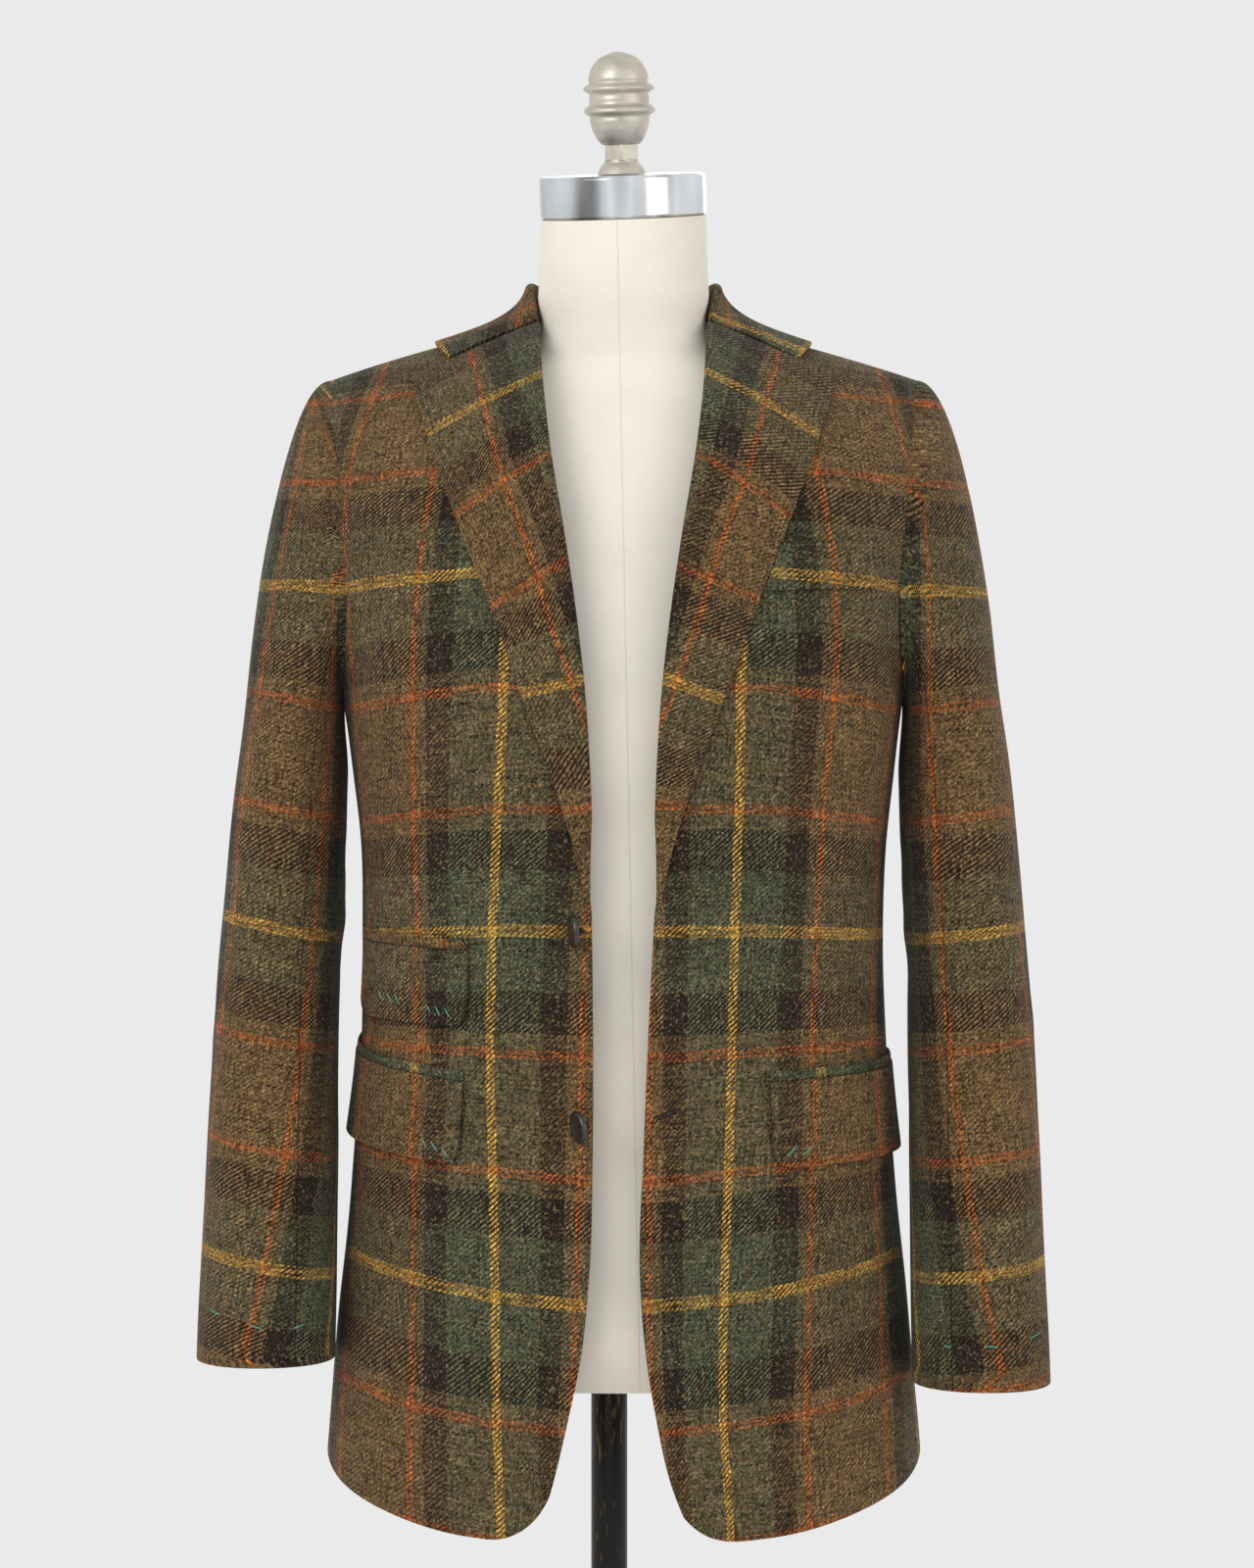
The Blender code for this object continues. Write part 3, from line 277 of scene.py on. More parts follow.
# Dress form by height: half width, depth to the front and back, and forward tilt in degrees.
FORM_COLUMNS = ("height", "half_width", "front", "back", "tilt")
FORM = (
    (0.772, 0.1560, 0.1020, 0.1040, 0.0),
    (0.785, 0.1610, 0.1080, 0.1100, 0.0),
    (0.86, 0.1630, 0.1100, 0.1120, 0.0),
    (0.95, 0.1560, 0.1080, 0.1020, 0.0),
    (1.04, 0.1500, 0.1060, 0.0900, 0.0),
    (1.12, 0.1540, 0.1120, 0.0920, 0.0),
    (1.20, 0.1640, 0.1220, 0.1010, 0.0),
    (1.28, 0.1700, 0.1210, 0.1090, 0.0),
    (1.34, 0.1690, 0.1090, 0.1110, 0.0),
    (1.385, 0.1640, 0.0890, 0.1020, 0.0),
    (1.412, 0.1540, 0.0700, 0.0880, 0.0),
    (1.428, 0.1150, 0.0580, 0.0730, 0.0),
    (1.438, 0.0800, 0.0520, 0.0610, 1.0),
    (1.452, 0.0600, 0.0530, 0.0530, 3.0),
    (1.485, 0.0565, 0.0600, 0.0480, 7.0),
    (1.534, 0.0545, 0.0680, 0.0410, 10.0),
)
FORM_SQUARENESS = 2.15

NECK_TILT = math.radians(10.0)      # the neck leans forward
NECK_ROLL = math.radians(-2.0)      # and slightly to the wearer's right
NECK_TOP = Vector((0.0, -0.0135, 1.534))
CAP_RADIUS = 0.0548
CAP_HEIGHT = 0.0275
CAP_EDGE = 0.0016
PART_GAP = 0.0003           # between two pieces that touch

# Finial profile from its foot up: height over the cap, radius.
FINIAL_COLUMNS = ("height", "radius")
FINIAL = (
    (0.0000, 0.0165),
    (0.0050, 0.0140),
    (0.0090, 0.0110),
    (0.0110, 0.0116),
    (0.0190, 0.0118),
    (0.0205, 0.0135),
    (0.0275, 0.0178),
    (0.0345, 0.0199),
    (0.0385, 0.0206),
    (0.0400, 0.0230),
    (0.0430, 0.0230),
    (0.0450, 0.0206),
    (0.0490, 0.0200),
    (0.0530, 0.0206),
    (0.0545, 0.0230),
    (0.0570, 0.0230),
    (0.0585, 0.0204),
    (0.0625, 0.0200),
    (0.0680, 0.0184),
    (0.0730, 0.0150),
    (0.0765, 0.0105),
    (0.0787, 0.0050),
)

POLE_RADIUS = 0.012
FORM_X = 0.0095             # the form stands a little to the wearer's left of its pole
FORM_Y = -0.005
POLE_FOOT = 0.012
POLE_TOP = 0.960

# Base profile from the pole's collar down and out: height, radius.
BASE = (
    (0.0780, 0.0160),
    (0.0800, 0.0180),
    (0.0780, 0.0200),
    (0.0480, 0.0210),
    (0.0380, 0.0270),
    (0.0300, 0.0480),
    (0.0230, 0.0950),
    (0.0170, 0.1500),
    (0.0130, 0.1800),
    (0.0080, 0.1890),
    (0.0000, 0.1900),
)


# --- How the checks fall ------------------------------------------------------------------

# Bands of yarn from the middle of one gold line to the next, each with its width in metres.
WARP_BANDS = (
    ("gold", 0.0031), ("green", 0.0270), ("dark", 0.0150), ("tan", 0.0070),
    ("orange", 0.0035), ("tan", 0.0500), ("orange", 0.0035), ("tan", 0.0070),
    ("dark", 0.0150), ("green", 0.0270), ("gold", 0.0031),
)
WEFT_BANDS = (
    ("gold", 0.00365), ("green", 0.0360), ("dark", 0.0260), ("tan", 0.0100),
    ("orange", 0.0060), ("tan", 0.0680), ("orange", 0.0060), ("tan", 0.0100),
    ("dark", 0.0260), ("green", 0.0360), ("gold", 0.00365),
)
WARP_ORANGE = 0.05385       # from a gold line to the next orange line, across
WARP_FAR_ORANGE = 0.10735   # and to the one after
WARP_TAN = 0.0806           # and to the middle of the broad tan band between them
WEFT_TAN = 0.11565          # the same, up the cloth
WEFT_REPEAT = 0.2313        # from one gold line to the next, up the cloth
WARP_GREEN = 0.0166         # from a gold line to the middle of the green beside it

# Distance from the centre of each upright line of a front, by rise.
WARP_LINE_COLUMNS = ("rise", "edge_orange", "gold", "orange", "far_orange")
WARP_LINES = {
    "right": (
        (1.530, -0.0120, 0.0410, 0.0930, 0.1515),
        (1.431, -0.0020, 0.0515, 0.1035, 0.1620),
        (1.360, 0.0120, 0.0665, 0.1191, 0.1775),
        (1.300, 0.0190, 0.0735, 0.1286, 0.1785),
        (1.220, 0.0200, 0.0753, 0.1341, 0.1750),
        (1.150, 0.0215, 0.0790, 0.1338, 0.1690),
        (1.065, 0.0236, 0.0832, 0.1308, 0.1650),
        (0.990, 0.0262, 0.0847, 0.1294, 0.1645),
        (0.900, 0.0280, 0.0820, 0.1338, 0.1710),
        (0.830, 0.0300, 0.0809, 0.1344, 0.1780),
        (0.760, 0.0330, 0.0798, 0.1348, 0.1822),
        (0.690, 0.0300, 0.0768, 0.1352, 0.1850),
    ),
    "left": (
        (1.530, -0.0120, 0.0400, 0.1040, 0.1630),
        (1.431, -0.0020, 0.0500, 0.1130, 0.1725),
        (1.360, 0.0100, 0.0640, 0.1225, 0.1845),
        (1.300, 0.0160, 0.0710, 0.1310, 0.1850),
        (1.250, 0.0170, 0.0738, 0.1345, 0.1825),
        (1.220, 0.0180, 0.0730, 0.1336, 0.1765),
        (1.150, 0.0180, 0.0720, 0.1273, 0.1668),
        (1.065, 0.0170, 0.0698, 0.1223, 0.1624),
        (0.990, 0.0160, 0.0678, 0.1196, 0.1597),
        (0.900, 0.0160, 0.0652, 0.1191, 0.1620),
        (0.830, 0.0160, 0.0625, 0.1167, 0.1650),
        (0.760, 0.0190, 0.0625, 0.1144, 0.1680),
        (0.690, 0.0250, 0.0668, 0.1170, 0.1705),
    ),
}
WARP_LINE_PLACES = (-WARP_ORANGE, 0.0, WARP_ORANGE, WARP_FAR_ORANGE)

# Rise of each level line of the body, at four turns from the front edge to the back.
WEFT_TURNS = (0.08, 0.33, 0.80, 1.50)
WEFT_LINES = (
    (-0.38395, 0.6790, 0.6855, 0.7026, 0.6832),
    (-0.30995, 0.7510, 0.7575, 0.7760, 0.7572),
    (-0.23130, 0.8310, 0.8368, 0.8553, 0.8358),
    (-0.15265, 0.9090, 0.9147, 0.9240, 0.9145),
    (-0.07865, 0.9870, 0.9898, 0.9928, 0.9885),
    (0.00000, 1.0665, 1.0671, 1.0617, 1.0671),
    (0.07865, 1.1425, 1.1441, 1.1350, 1.1458),
    (0.15265, 1.2195, 1.2210, 1.2072, 1.2198),
    (0.23130, 1.2930, 1.2928, 1.2853, 1.2984),
    (0.30995, 1.3602, 1.3602, 1.3555, 1.3771),
    (0.38395, 1.4150, 1.4170, 1.4310, 1.4511),
)

# A lapel's orange line: height, and distance from the centre.
LAPEL_LINE_COLUMNS = ("height", "from_centre")
LAPEL_LINE = (
    (1.0750, -0.0187),
    (1.2177, 0.0304),
    (1.2590, 0.0446),
    (1.3085, 0.0594),
    (1.3555, 0.0767),
    (1.3980, 0.0880),
    (1.4600, 0.1060),
)
LAPEL_LEAN = math.cos(math.radians(17.0))       # that line's, from upright
# Where the level lines cross it, and how steeply they rise towards the centre on each side.
LAPEL_WEFT_COLUMNS = ("place", "height", "right", "left")
LAPEL_WEFT = (
    (-0.15265, 1.0750, 0.05, 0.00),
    (-0.07865, 1.1470, 0.10, 0.00),
    (0.00000, 1.2235, 0.17, 0.32),
    (0.07865, 1.2880, 0.52, 0.375),
    (0.15265, 1.3480, 0.52, 0.54),
    (0.23130, 1.4000, 0.47, 0.51),
    (0.30995, 1.4520, 0.45, 0.45),
)

# A sleeve's two orange lines: height, and distance from the centre.
SLEEVE_LINE = {
    "right": (
        (0.8010, 0.2403), (0.8302, 0.2329), (0.8584, 0.2278), (0.8933, 0.2223),
        (0.9306, 0.2156), (0.9889, 0.2085), (1.0626, 0.2010), (1.0921, 0.1987),
        (1.1371, 0.1965), (1.2204, 0.1910), (1.2900, 0.1870),
    ),
    "left": (
        (0.7950, 0.2384), (0.8302, 0.2297), (0.8668, 0.2249), (0.9163, 0.2183),
        (0.9594, 0.2131), (1.0033, 0.2096), (1.0626, 0.2049), (1.1350, 0.2013),
        (1.1900, 0.1992), (1.2340, 0.1981), (1.2781, 0.1971), (1.3354, 0.1937),
    ),
}
SLEEVE_OUTER_LINE = {
    "right": (
        (1.1043, 0.2519), (1.1459, 0.2461), (1.1792, 0.2429), (1.2208, 0.2384),
        (1.2428, 0.2362), (1.2870, 0.2282), (1.3222, 0.2218), (1.3620, 0.2154),
        (1.4120, 0.2048),
    ),
    "left": (
        (1.0770, 0.2633), (1.1220, 0.2588), (1.2000, 0.2519), (1.2870, 0.2400),
        (1.3620, 0.2250), (1.4120, 0.2120),
    ),
}
# Height of each level line at the middle of the sleeves.
SLEEVE_WEFT_COLUMNS = ("place", "right", "left")
SLEEVE_WEFT = (
    (-0.30995, 0.7807, 0.7757),
    (-0.23130, 0.8519, 0.8469),
    (-0.15265, 0.9250, 0.9187),
    (-0.07865, 0.9943, 0.9893),
    (0.00000, 1.0668, 1.0624),
    (0.07865, 1.1436, 1.1386),
    (0.15265, 1.2154, 1.2104),
    (0.23130, 1.2885, 1.2845),
    (0.30995, 1.3572, 1.3547),
    (0.38395, 1.4120, 1.4100),
    (0.45345, 1.4820, 1.4800),
)
# How steeply those lines fall towards the body: below one height, and above another.
SLEEVE_TILT = {"right": (0.20, 0.06), "left": (0.12, 0.00)}
SLEEVE_TILT_HEIGHTS = (1.215, 1.290)


# --- Listed folds laid on -----------------------------------------------------------------

# Which side of which cloth, the fold's middle, its lean from upright in degrees, its length and
# width, and its depth: a trough is below 0, a ridge above.
FOLDS = (
    # Drape in front of the armholes, and the drag from the chest to the button.
    ("front", -0.166, 1.265, 8.0, 0.075, 0.011, -0.0022),
    ("front", -0.148, 1.275, 10.0, 0.060, 0.014, 0.0016),
    ("front", 0.172, 1.262, -6.0, 0.080, 0.011, -0.0024),
    ("front", 0.153, 1.270, -9.0, 0.062, 0.015, 0.0016),
    ("front", -0.118, 1.180, 18.0, 0.060, 0.020, -0.0012),
    ("front", 0.124, 1.165, -15.0, 0.066, 0.020, -0.0012),
    ("front", -0.060, 1.020, -24.0, 0.050, 0.016, 0.0008),
    ("front", 0.055, 1.005, 20.0, 0.055, 0.016, -0.0008),
    # The skirt's long waves.
    ("front", -0.150, 0.830, 3.0, 0.120, 0.024, -0.0022),
    ("front", -0.110, 0.790, -2.0, 0.110, 0.026, 0.0020),
    ("front", -0.070, 0.770, 4.0, 0.080, 0.018, -0.0014),
    ("front", 0.142, 0.820, -4.0, 0.125, 0.022, -0.0020),
    ("front", 0.100, 0.780, 3.0, 0.095, 0.026, 0.0018),
    ("front", 0.062, 0.765, -6.0, 0.085, 0.017, -0.0015),
    # Blade fullness, the small of the back and its skirt.
    ("back", -0.150, 1.290, -9.0, 0.085, 0.013, -0.0028),
    ("back", -0.128, 1.300, -12.0, 0.070, 0.017, 0.0020),
    ("back", 0.153, 1.285, 10.0, 0.090, 0.013, -0.0026),
    ("back", 0.130, 1.295, 12.0, 0.068, 0.017, 0.0020),
    ("back", -0.060, 1.120, 68.0, 0.075, 0.014, -0.0016),
    ("back", 0.050, 1.098, -64.0, 0.080, 0.015, -0.0018),
    ("back", -0.020, 1.075, 82.0, 0.090, 0.012, 0.0012),
    ("back", 0.010, 1.145, -80.0, 0.085, 0.015, 0.0012),
    ("back", -0.098, 0.880, 5.0, 0.150, 0.026, -0.0026),
    ("back", -0.045, 0.850, -3.0, 0.130, 0.024, 0.0022),
    ("back", 0.052, 0.870, 4.0, 0.145, 0.024, 0.0022),
    ("back", 0.105, 0.880, -5.0, 0.140, 0.025, -0.0024),
    ("back", 0.000, 1.412, 88.0, 0.080, 0.010, -0.0014),
    # Fronts of the sleeves: the pitch from the head, the elbow's drags and the forearm's break.
    ("sleeve_front", -0.232, 1.230, 24.0, 0.060, 0.013, -0.0016),
    ("sleeve_front", -0.214, 1.175, 30.0, 0.050, 0.012, 0.0012),
    ("sleeve_front", -0.222, 1.052, 38.0, 0.042, 0.010, -0.0015),
    ("sleeve_front", -0.240, 1.018, 46.0, 0.040, 0.010, 0.0011),
    ("sleeve_front", -0.226, 0.985, 40.0, 0.034, 0.008, -0.0012),
    ("sleeve_front", -0.214, 0.908, -30.0, 0.045, 0.010, -0.0013),
    ("sleeve_front", -0.236, 0.870, -26.0, 0.040, 0.011, 0.0010),
    ("sleeve_front", 0.236, 1.245, -22.0, 0.062, 0.013, -0.0016),
    ("sleeve_front", 0.214, 1.182, -31.0, 0.048, 0.012, 0.0012),
    ("sleeve_front", 0.224, 1.064, -40.0, 0.044, 0.010, -0.0014),
    ("sleeve_front", 0.242, 1.030, -44.0, 0.038, 0.009, 0.0011),
    ("sleeve_front", 0.228, 0.992, -36.0, 0.036, 0.009, -0.0013),
    ("sleeve_front", 0.216, 0.900, 28.0, 0.046, 0.010, -0.0012),
    ("sleeve_front", 0.240, 0.862, 24.0, 0.040, 0.011, 0.0010),
    # Backs of the sleeves: broader breaks behind the elbow.
    ("sleeve_back", -0.226, 1.092, 62.0, 0.045, 0.010, -0.0022),
    ("sleeve_back", -0.222, 1.058, 70.0, 0.050, 0.009, 0.0016),
    ("sleeve_back", -0.228, 1.022, 58.0, 0.045, 0.010, -0.0020),
    ("sleeve_back", -0.238, 1.250, 14.0, 0.080, 0.013, -0.0018),
    ("sleeve_back", -0.226, 0.900, 30.0, 0.060, 0.012, -0.0014),
    ("sleeve_back", 0.230, 1.086, -60.0, 0.046, 0.010, -0.0022),
    ("sleeve_back", 0.224, 1.050, -72.0, 0.048, 0.009, 0.0016),
    ("sleeve_back", 0.230, 1.012, -56.0, 0.045, 0.011, -0.0020),
    ("sleeve_back", 0.240, 1.246, -12.0, 0.085, 0.013, -0.0018),
    ("sleeve_back", 0.228, 0.894, -32.0, 0.058, 0.012, -0.0014),
)
UNEVEN_DEPTH = 0.0011       # the cloth's own slow unevenness
UNEVEN_SIZE = 0.085


# --- Curves through the tables ------------------------------------------------------------

def curve(table, columns, name, key=0):
    """A smooth function of a table's key column that runs through one of its other columns."""
    rows = sorted(table, key=lambda row: row[key])
    column = columns.index(name)
    keys = np.array([row[key] for row in rows])
    values = np.array([row[column] for row in rows])
    slopes = np.gradient(values, keys)

    def at(place):
        place = min(max(place, keys[0]), keys[-1])
        row = min(int(np.searchsorted(keys, place, side="right")) - 1, len(keys) - 2)
        step = keys[row + 1] - keys[row]
        way = (place - keys[row]) / step
        return float(hermite(values[row], values[row + 1], slopes[row] * step,
                             slopes[row + 1] * step, way))

    return at


def hermite(start, end, leave, arrive, way):
    """The cubic from start to end with the given slopes, for numbers or vectors."""
    square = way * way
    cube = square * way
    return (start * (2 * cube - 3 * square + 1) + leave * (cube - 2 * square + way)
            + end * (3 * square - 2 * cube) + arrive * (cube - square))


def blend(start, end, way):
    """The value a share of the way from start to end."""
    return start + (end - start) * way


half_width = curve(BODY, BODY_COLUMNS, "half_width")
front_depth = curve(BODY, BODY_COLUMNS, "front")
back_depth = curve(BODY, BODY_COLUMNS, "back")
hem_height = curve(HEM, HEM_COLUMNS, "height")
roll_x = curve(LAPEL, LAPEL_COLUMNS, "roll")
lapel_edge_x = curve(LAPEL, LAPEL_COLUMNS, "edge")
FRONT_EDGE_X = {side: curve(FRONT_EDGE, EDGE_COLUMNS, side) for side in ("right", "left")}
COLLAR_AT = {name: curve(COLLAR, COLLAR_COLUMNS, name) for name in COLLAR_COLUMNS[1:]}
SLEEVE_AT = {name: curve(SLEEVE, SLEEVE_COLUMNS, name) for name in SLEEVE_COLUMNS[1:]}
FORM_AT = {name: curve(FORM, FORM_COLUMNS, name) for name in FORM_COLUMNS[1:]}


# --- The body's surface -------------------------------------------------------------------

def quarter_outline():
    """A quarter of the body's outline: its turns, and their reach across and forwards."""
    angles = np.linspace(0.0, math.pi / 2, 65)
    across = np.sin(angles) ** (2 / SQUARENESS)
    forwards = np.cos(angles) ** (2 / SQUARENESS)
    steps = np.hypot(np.diff(across), DEPTH_SHARE * np.diff(forwards))
    turns = np.concatenate(([0.0], np.cumsum(steps)))
    return turns / turns[-1], across, forwards


OUTLINE_TURNS, OUTLINE_ACROSS, OUTLINE_FORWARDS = quarter_outline()


def shoulder_height(x):
    """Height of the shoulder line at a distance from the centre."""
    out = abs(x) - SHOULDER_START_X
    return SHOULDER_TOP - SHOULDER_SLOPE * out - SHOULDER_BEND * out * out


def turn_at(x, height):
    """The turn on the front at a distance from the centre."""
    return float(np.interp(x / half_width(height), OUTLINE_ACROSS, OUTLINE_TURNS))


def rise_at(x, height):
    """The rise of a point at a distance from the centre and a height."""
    drop = max(shoulder_height(x) - height, 0.0)
    if drop >= CROWN:
        return height
    return shoulder_height(x) + CROWN_EXTRA - CROWN * math.acos(1 - drop / CROWN)


def front_place(x, height):
    """Turn and rise on the front of a point given by its distance out and its height."""
    return turn_at(x, height), rise_at(x, height)


def crown_place(x, angle):
    """Turn and rise of a point on the crown of the shoulder, at an angle from its line."""
    height = shoulder_height(x) - CROWN * (1 - math.cos(angle))
    turn = turn_at(x, height)
    rise = shoulder_height(x) + CROWN_EXTRA - CROWN * abs(angle)
    return (2 - turn if angle > 0 else turn), rise


def bare_point(side, turn, rise):
    """A point of the body's surface."""
    folded = 2 - turn if turn > 1 else turn
    across = np.interp(folded, OUTLINE_TURNS, OUTLINE_ACROSS)
    forwards = np.interp(folded, OUTLINE_TURNS, OUTLINE_FORWARDS)
    x = across * half_width(rise)
    for _ in range(3):
        length = max(shoulder_height(x) + CROWN_EXTRA - rise, 0.0)
        if length < CROWN * math.pi / 2:
            drop = CROWN * (1 - math.cos(length / CROWN))
            outward = math.sin(length / CROWN)
        else:
            drop = length - CROWN_EXTRA
            outward = 1.0
        height = shoulder_height(x) - drop
        x = across * half_width(height)
    depth = back_depth(height) if turn > 1 else -front_depth(height)
    y = blend(SHOULDER_Y, depth * forwards, outward)
    return Vector((SIGN[side] * x, y, height))


def body_normal(side, turn, rise):
    """The outward direction of the body's surface."""
    step = 0.004
    round_it = bare_point(side, turn + step, rise) - bare_point(side, turn - step, rise)
    up_it = bare_point(side, turn, rise) - bare_point(side, turn, rise - step)
    return (round_it.cross(up_it) * SIGN[side]).normalized()


def body_point(side, turn, rise, lift=0.0):
    """A point moved out from the body's surface."""
    point = bare_point(side, turn, rise)
    if lift:
        point = point + body_normal(side, turn, rise) * lift
    return point


def patch(low_edge, high_edge, first_edge, last_edge):
    """A place in the (turn, rise) plane between four edges, each a function of 0 to 1."""
    low_edge, high_edge = functools.cache(low_edge), functools.cache(high_edge)
    first_edge, last_edge = functools.cache(first_edge), functools.cache(last_edge)

    def at(u, v):
        first, last = first_edge(v), last_edge(v)
        low, high = low_edge(u), high_edge(u)
        corners = (low_edge(0.0), low_edge(1.0), high_edge(0.0), high_edge(1.0))
        weights = ((1 - u) * (1 - v), u * (1 - v), (1 - u) * v, u * v)
        place = []
        for axis in (0, 1):
            ruled = ((1 - u) * first[axis] + u * last[axis]
                     + (1 - v) * low[axis] + v * high[axis])
            shared = sum(corner[axis] * weight for corner, weight in zip(corners, weights))
            place.append(ruled - shared)
        return place
    return at


def armhole(way, back):
    """Turn and rise on the armhole, from the shoulder tip at 0 to under the arm at 1."""
    reach = ARM_BACK_REACH if back else ARM_FRONT_REACH
    tip_rise = rise_at(SHOULDER_TIP_X, shoulder_height(SHOULDER_TIP_X))
    if way < 0.5:
        share = way / 0.5
        rise = blend(tip_rise, ARM_MIDDLE, share)
        out = blend(ARM_TIP_REACH, reach, math.sin(share * math.pi / 2))
    else:
        angle = (way - 0.5) * math.pi
        rise = ARM_MIDDLE - (ARM_MIDDLE - ARM_BOTTOM) * math.sin(angle)
        out = reach * math.cos(angle)
    return (1 + out if back else 1 - out), rise


def armhole_way(out, reach):
    """How far down the lower armhole its reach from the side line has shrunk to a value."""
    return 0.5 + math.acos(out / reach) / math.pi


FRONT_SEAM_WAY = armhole_way(1 - SIDE_FRONT_TURN, ARM_FRONT_REACH)
BACK_SEAM_WAY = armhole_way(ARM_BACK_REACH * SIDE_BACK_ARM, ARM_BACK_REACH)
SIDE_SHARE = 0.55           # of a front's rows, below the armhole
BACK_SIDE_SHARE = 0.5625    # of a back's rows, below where the side body's seam ends


def neckline(way):
    """Turn and rise of the neck seam, from the gorge at 0 to the centre back at 1."""
    return crown_place(COLLAR_AT["neck_x"](way), COLLAR_AT["neck_angle"](way))


def quarter_hem(side, turn):
    """Height of the hem, with the front's rounded corner."""
    height = hem_height(turn)
    x = bare_point(side, turn, height).x * SIGN[side]
    short = (QUARTER_LEVEL_X[side] - x) / QUARTER_RUN
    if short > 0:
        height += QUARTER_RISE[side] * (1 - math.sqrt(max(1 - short * short, 0.0)))
    return height


def gorge_place(way):
    """Distance out and height along a lapel's top, from the roll line to its tip."""
    if way < LAPEL_TIP_SHARE:
        share = way / LAPEL_TIP_SHARE
        start, end = GORGE_START, NOTCH
    else:
        share = (way - LAPEL_TIP_SHARE) / (1 - LAPEL_TIP_SHARE)
        start, end = NOTCH, LAPEL_TIP
    return blend(start[0], end[0], share), blend(start[1], end[1], share)


def sleeve_ring(side, angle, height):
    """A point on a sleeve, at an angle from its outer side round over the front."""
    outer, inner = SLEEVE_AT["outer"](height), SLEEVE_AT["inner"](height)
    x_part, y_part = math.cos(angle), math.sin(angle)
    power = 2 / SLEEVE_SQUARENESS
    x = (outer + inner) / 2 + (outer - inner) / 2 * math.copysign(abs(x_part) ** power, x_part)
    y = (SLEEVE_AT["middle"](height)
         - SLEEVE_AT["half_depth"](height) * math.copysign(abs(y_part) ** power, y_part))
    return Vector((SIGN[side] * x, y, height))


SEAT_TUCK = 0.0012          # how far the sleeve's seam is pressed into the armhole


@functools.cache
def sleeve_seat(side, angle):
    """Where a sleeve starts, just off the armhole."""
    back = angle > math.pi
    way = (2 * math.pi - angle if back else angle) / math.pi
    turn, rise = armhole(way, back)
    point = body_point(side, turn, rise)
    normal = body_normal(side, turn, rise - 0.0005)
    before = body_point(side, *armhole(max(way - 0.01, 0.0), back))
    after = body_point(side, *armhole(min(way + 0.01, 1.0), back))
    off = (after - before).cross(normal).normalized()
    hole = body_point(side, 1.0, ARM_MIDDLE) + Vector((SIGN[side] * 0.1, 0.0, 0.0))
    if off.dot(hole - point) < 0:
        off = -off
    slant = math.sqrt(max(1 - off.x * off.x, 0.0))
    gap = (SEAT_GAP_TOP + SEAT_GAP_MORE * way) * SEAM_GAP
    return point + off * (gap + CLOTH / 2 * slant - SEAT_TUCK)


def sleeve_point(side, angle, v):
    """A point on a sleeve: v runs from the cuff at 0 to the armhole at 1."""
    straight = 1 - SLEEVE_HEAD_SHARE
    top = SLEEVE[0][0]
    if v < straight:
        return sleeve_ring(side, angle, blend(CUFF_HEIGHT[side], top, v / straight))
    seat = sleeve_seat(side, angle)
    ring = sleeve_ring(side, angle, top)
    distance = (ring - seat).length
    leave = Vector((SIGN[side] * SLEEVE_LEAVE * distance, 0.0, 0.0))
    below = sleeve_ring(side, angle, top - 0.01)
    arrive = (below - ring).normalized() * distance * SLEEVE_ARRIVE
    return hermite(seat, ring, leave, arrive, 1 - (v - straight) / SLEEVE_HEAD_SHARE)


# --- The folds and the checks at a place --------------------------------------------------

def fold_depth(where, point):
    """How far the folds and the cloth's unevenness move it out at a point of the form."""
    lift = noise.noise(point / UNEVEN_SIZE) * UNEVEN_DEPTH
    for cloth, x, z, degrees, length, width, depth in FOLDS:
        if cloth != where or abs(point.z - z) > 3 * length or abs(point.x - x) > 3 * length:
            continue
        lean = math.radians(degrees)
        across, up = point.x - x, point.z - z
        along = up * math.cos(lean) + across * math.sin(lean)
        beside = across * math.cos(lean) - up * math.sin(lean)
        lift += depth * math.exp(-(along / length) ** 2 - (beside / width) ** 2)
    return lift


def half_length(depth_at, height):
    """Length of cloth round a quarter of the body at a height."""
    across = np.diff(OUTLINE_ACROSS) * half_width(height)
    forwards = np.diff(OUTLINE_FORWARDS) * depth_at(height)
    return float(np.hypot(across, forwards).sum())


QUARTER_COLUMNS = ("height", "front", "back")
QUARTERS = [(row[0], half_length(front_depth, row[0]), half_length(back_depth, row[0]))
            for row in BODY]
front_quarter = curve(QUARTERS, QUARTER_COLUMNS, "front")
back_quarter = curve(QUARTERS, QUARTER_COLUMNS, "back")
WARP_LINE_AT = {
    side: [curve(rows, WARP_LINE_COLUMNS, name) for name in WARP_LINE_COLUMNS[1:]]
    for side, rows in WARP_LINES.items()
}
WEFT_PLACES = np.array([row[0] for row in WEFT_LINES])
WEFT_RISES = np.array([row[1:] for row in WEFT_LINES])


def beyond(value, places, results):
    """A reading between the rows of a table, which goes on at one for one past its ends."""
    if value > places[-1]:
        return float(results[-1] + value - places[-1])
    if value < places[0]:
        return float(results[0] + value - places[0])
    return float(np.interp(value, places, results))


def body_arc(turn, height):
    """Length of cloth from the centre front round to a turn."""
    if turn <= 1:
        return turn * front_quarter(height)
    return front_quarter(height) + (turn - 1) * back_quarter(height)


